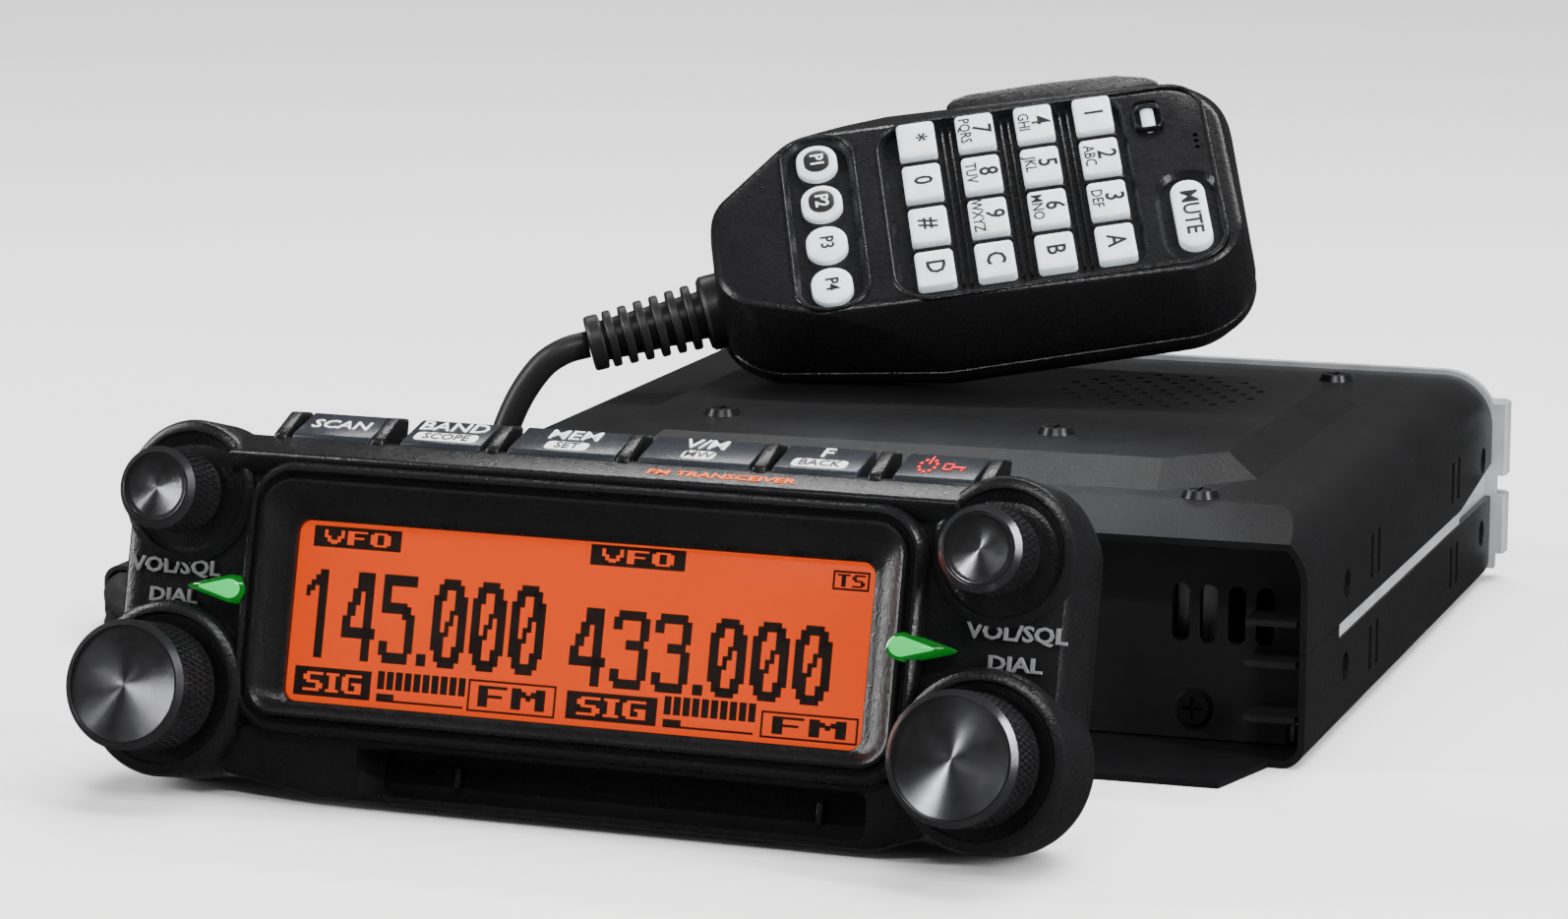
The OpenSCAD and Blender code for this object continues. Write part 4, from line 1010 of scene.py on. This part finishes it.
LEGENDS = [("1", ""), ("2", "ABC"), ("3", "DEF"), ("A", ""), ("4", "GHI"), ("5", "JKL"), ("6", "MNO"),
           ("B", ""),
           ("7", "PQRS"), ("8", "TUV"), ("9", "WXYZ"), ("C", ""), ("*", ""), ("0", ""), ("#", ""), ("D", "")]
KEY_NAMES = ["1", "2", "3", "a", "4", "5", "6", "b", "7", "8", "9", "c", "star", "0", "hash", "d"]


def key_cap(bm, x, y, u, v, r, low, top, dome):
    """A key with rounded edges and a slightly crowned top."""
    rings = [rounded(x - u / 2 + i, y - v / 2 + i, x + u / 2 - i, y + v / 2 - i, max(0.15, r - i), z, 6)
             for i, z in ((0, low), (0, top - 0.55), (0.12, top - 0.25), (0.4, top - 0.06),
                          (0.9, top + dome * 0.4))]
    loft(bm, rings)
    bmesh.ops.recalc_face_normals(bm, faces=bm.faces)


def reading(x, y, z):
    """Letters on the microphone read across it, their tops towards its top end."""
    return Matrix.Translation((x, y, z)) @ Matrix.Rotation(math.radians(-90), 4, "Z")


def make_pad_key(i):
    x = (1.5 - i // 4) * PITCH_U
    y = (1.5 - i % 4) * PITCH_V
    bm = bmesh.new()
    key_cap(bm, x, y, 6.3, 8.0, 0.8, -4.6, 0.0, 0.12)
    big, small = LEGENDS[i]
    lettering(bm, big, 4.4, reading(x + (1.0 if small else 0), y, 0.03), 1, 0.07, 0.95)
    if small:
        lettering(bm, small, 2.6, reading(x - 1.75, y, 0.03), 1, 0.03, 0.95)
    name = "mic_key_" + KEY_NAMES[i]
    piece(name + "_cap", bm, MIC, [key_white, ink_black], name, [name])


def make_oval_key(i):
    x, y = -31.6, 13.6 - 9.63 * i
    dark = i < 2
    bm = bmesh.new()
    key_cap(bm, x, y, 6.8, 8.2, 3.3, -4.6, -0.5, 0.3)
    if dark:
        badge = bmesh.new()
        key_cap(badge, x, y, 4.9, 5.9, 2.4, -0.6, -0.28, 0.1)
        add(bm, badge, slot=1)
    lettering(bm, "P%d" % (i + 1), 3.1, reading(x, y, -0.22 if dark else -0.36), 2 if dark else 1, 0.05, 0.95)
    name = "mic_key_p%d" % (i + 1)
    piece(name + "_cap", bm, MIC, [key_white, ink_black, ink_white], name, [name])


def make_mute_key():
    bm = bmesh.new()
    key_cap(bm, 27.5, -11.5, 5.6, 15.4, 2.75, -4.6, 0.4, 0.25)
    lettering(bm, "MUTE", 3.9, reading(27.5, -11.5, 0.48), 1, 0.06, 1.0)
    piece("mic_key_mute_cap", bm, MIC, [key_white, ink_black], "mic_key_mute", ["mic_key_mute"])


def make_talk_bar():
    """Long bar on the microphone's far edge, with gripping ridges."""
    bm = bmesh.new()
    outline = [(-9, 24.6), (-9, 31), (-7.6, 32.4), (-5, 33.1), (8, 33.2), (20, 32.5), (25, 31), (27, 29.6),
               (27, 27.4),
               (-4, 27.4), (-4, 24.6)]
    prism(bm, outline, -13.3, -8.3, 0.8, 3)
    for i in range(6):
        x = -2 + 3.2 * i
        box(bm, x, 32.4, -12.2, x + 1.2, 33.4, -9.4, 0.3)
    piece("talk_bar_ridged", bm, MIC, [mic_plastic], "talk_bar", ["mic_talk_bar"], 40)


def make_mic_lamp():
    bm = bmesh.new()
    key_cap(bm, 23.5, 12.2, 2.4, 6.2, 1.1, -3.0, -0.35, 0.1)
    piece("mic_lamp_lens", bm, MIC, [key_white], "mic", ["mic_lamp"])


make_mic_front()
make_mic_rear()
make_strain_relief()
for number in range(16):
    make_pad_key(number)
for number in range(4):
    make_oval_key(number)
make_mute_key()
make_talk_bar()
make_mic_lamp()


# --- Floor and light ---

def make_floor():
    bm = bmesh.new()
    bmesh.ops.create_grid(bm, x_segments=1, y_segments=1, size=6)
    mesh = bpy.data.meshes.new("floor")
    bm.to_mesh(mesh)
    bm.free()
    floor = bpy.data.objects.new("floor", mesh)
    bpy.context.collection.objects.link(floor)
    material, nodes, links, shader = node_material("floor")
    tone = noise(nodes, links, 400, 2)
    links.new(ramp(nodes, links, tone, [(0.3, (0.86, 0.86, 0.86)), (0.7, (0.9, 0.9, 0.9))]),
              shader.inputs["Base Color"])
    shader.inputs["Roughness"].default_value = 0.7
    mesh.materials.append(material)
    floor.visible_glossy = False


def area_light(name, place, target, size, power, tall=None):
    data = bpy.data.lights.new(name, "AREA")
    data.energy = power
    data.size = size
    if tall:
        data.shape = "RECTANGLE"
        data.size_y = tall
    lamp = bpy.data.objects.new(name, data)
    lamp.location = place
    lamp.rotation_euler = (Vector(target) - Vector(place)).to_track_quat("-Z", "Y").to_euler()
    bpy.context.collection.objects.link(lamp)


def make_light():
    world = bpy.data.worlds.new("studio")
    world.use_nodes = True
    world.node_tree.nodes["Background"].inputs["Color"].default_value = (1, 1, 1, 1)
    world.node_tree.nodes["Background"].inputs["Strength"].default_value = 0.07
    bpy.context.scene.world = world
    sun = bpy.data.lights.new("sky_panel", "SUN")
    sun.energy = 5.2
    sun.angle = math.radians(40)
    lamp = bpy.data.objects.new("sky_panel", sun)
    lamp.rotation_euler = (math.radians(-14), math.radians(10), 0)
    lamp.visible_glossy = False
    bpy.context.collection.objects.link(lamp)
    area_light("top_strip", (0.0, 0.5, 0.75), (0, -0.05, 0.03), 0.9, 6.5, 0.06)
    area_light("front_strip", (0.1, -0.75, 0.75), (0, -0.08, 0.04), 0.5, 5, 0.05)
    area_light("left_strip", (-0.75, -0.3, 0.35), (-0.05, -0.1, 0.03), 0.07, 9, 0.8)
    area_light("right_strip", (0.75, -0.3, 0.4), (0.05, -0.1, 0.04), 0.07, 11, 0.8)


make_floor()
make_light()
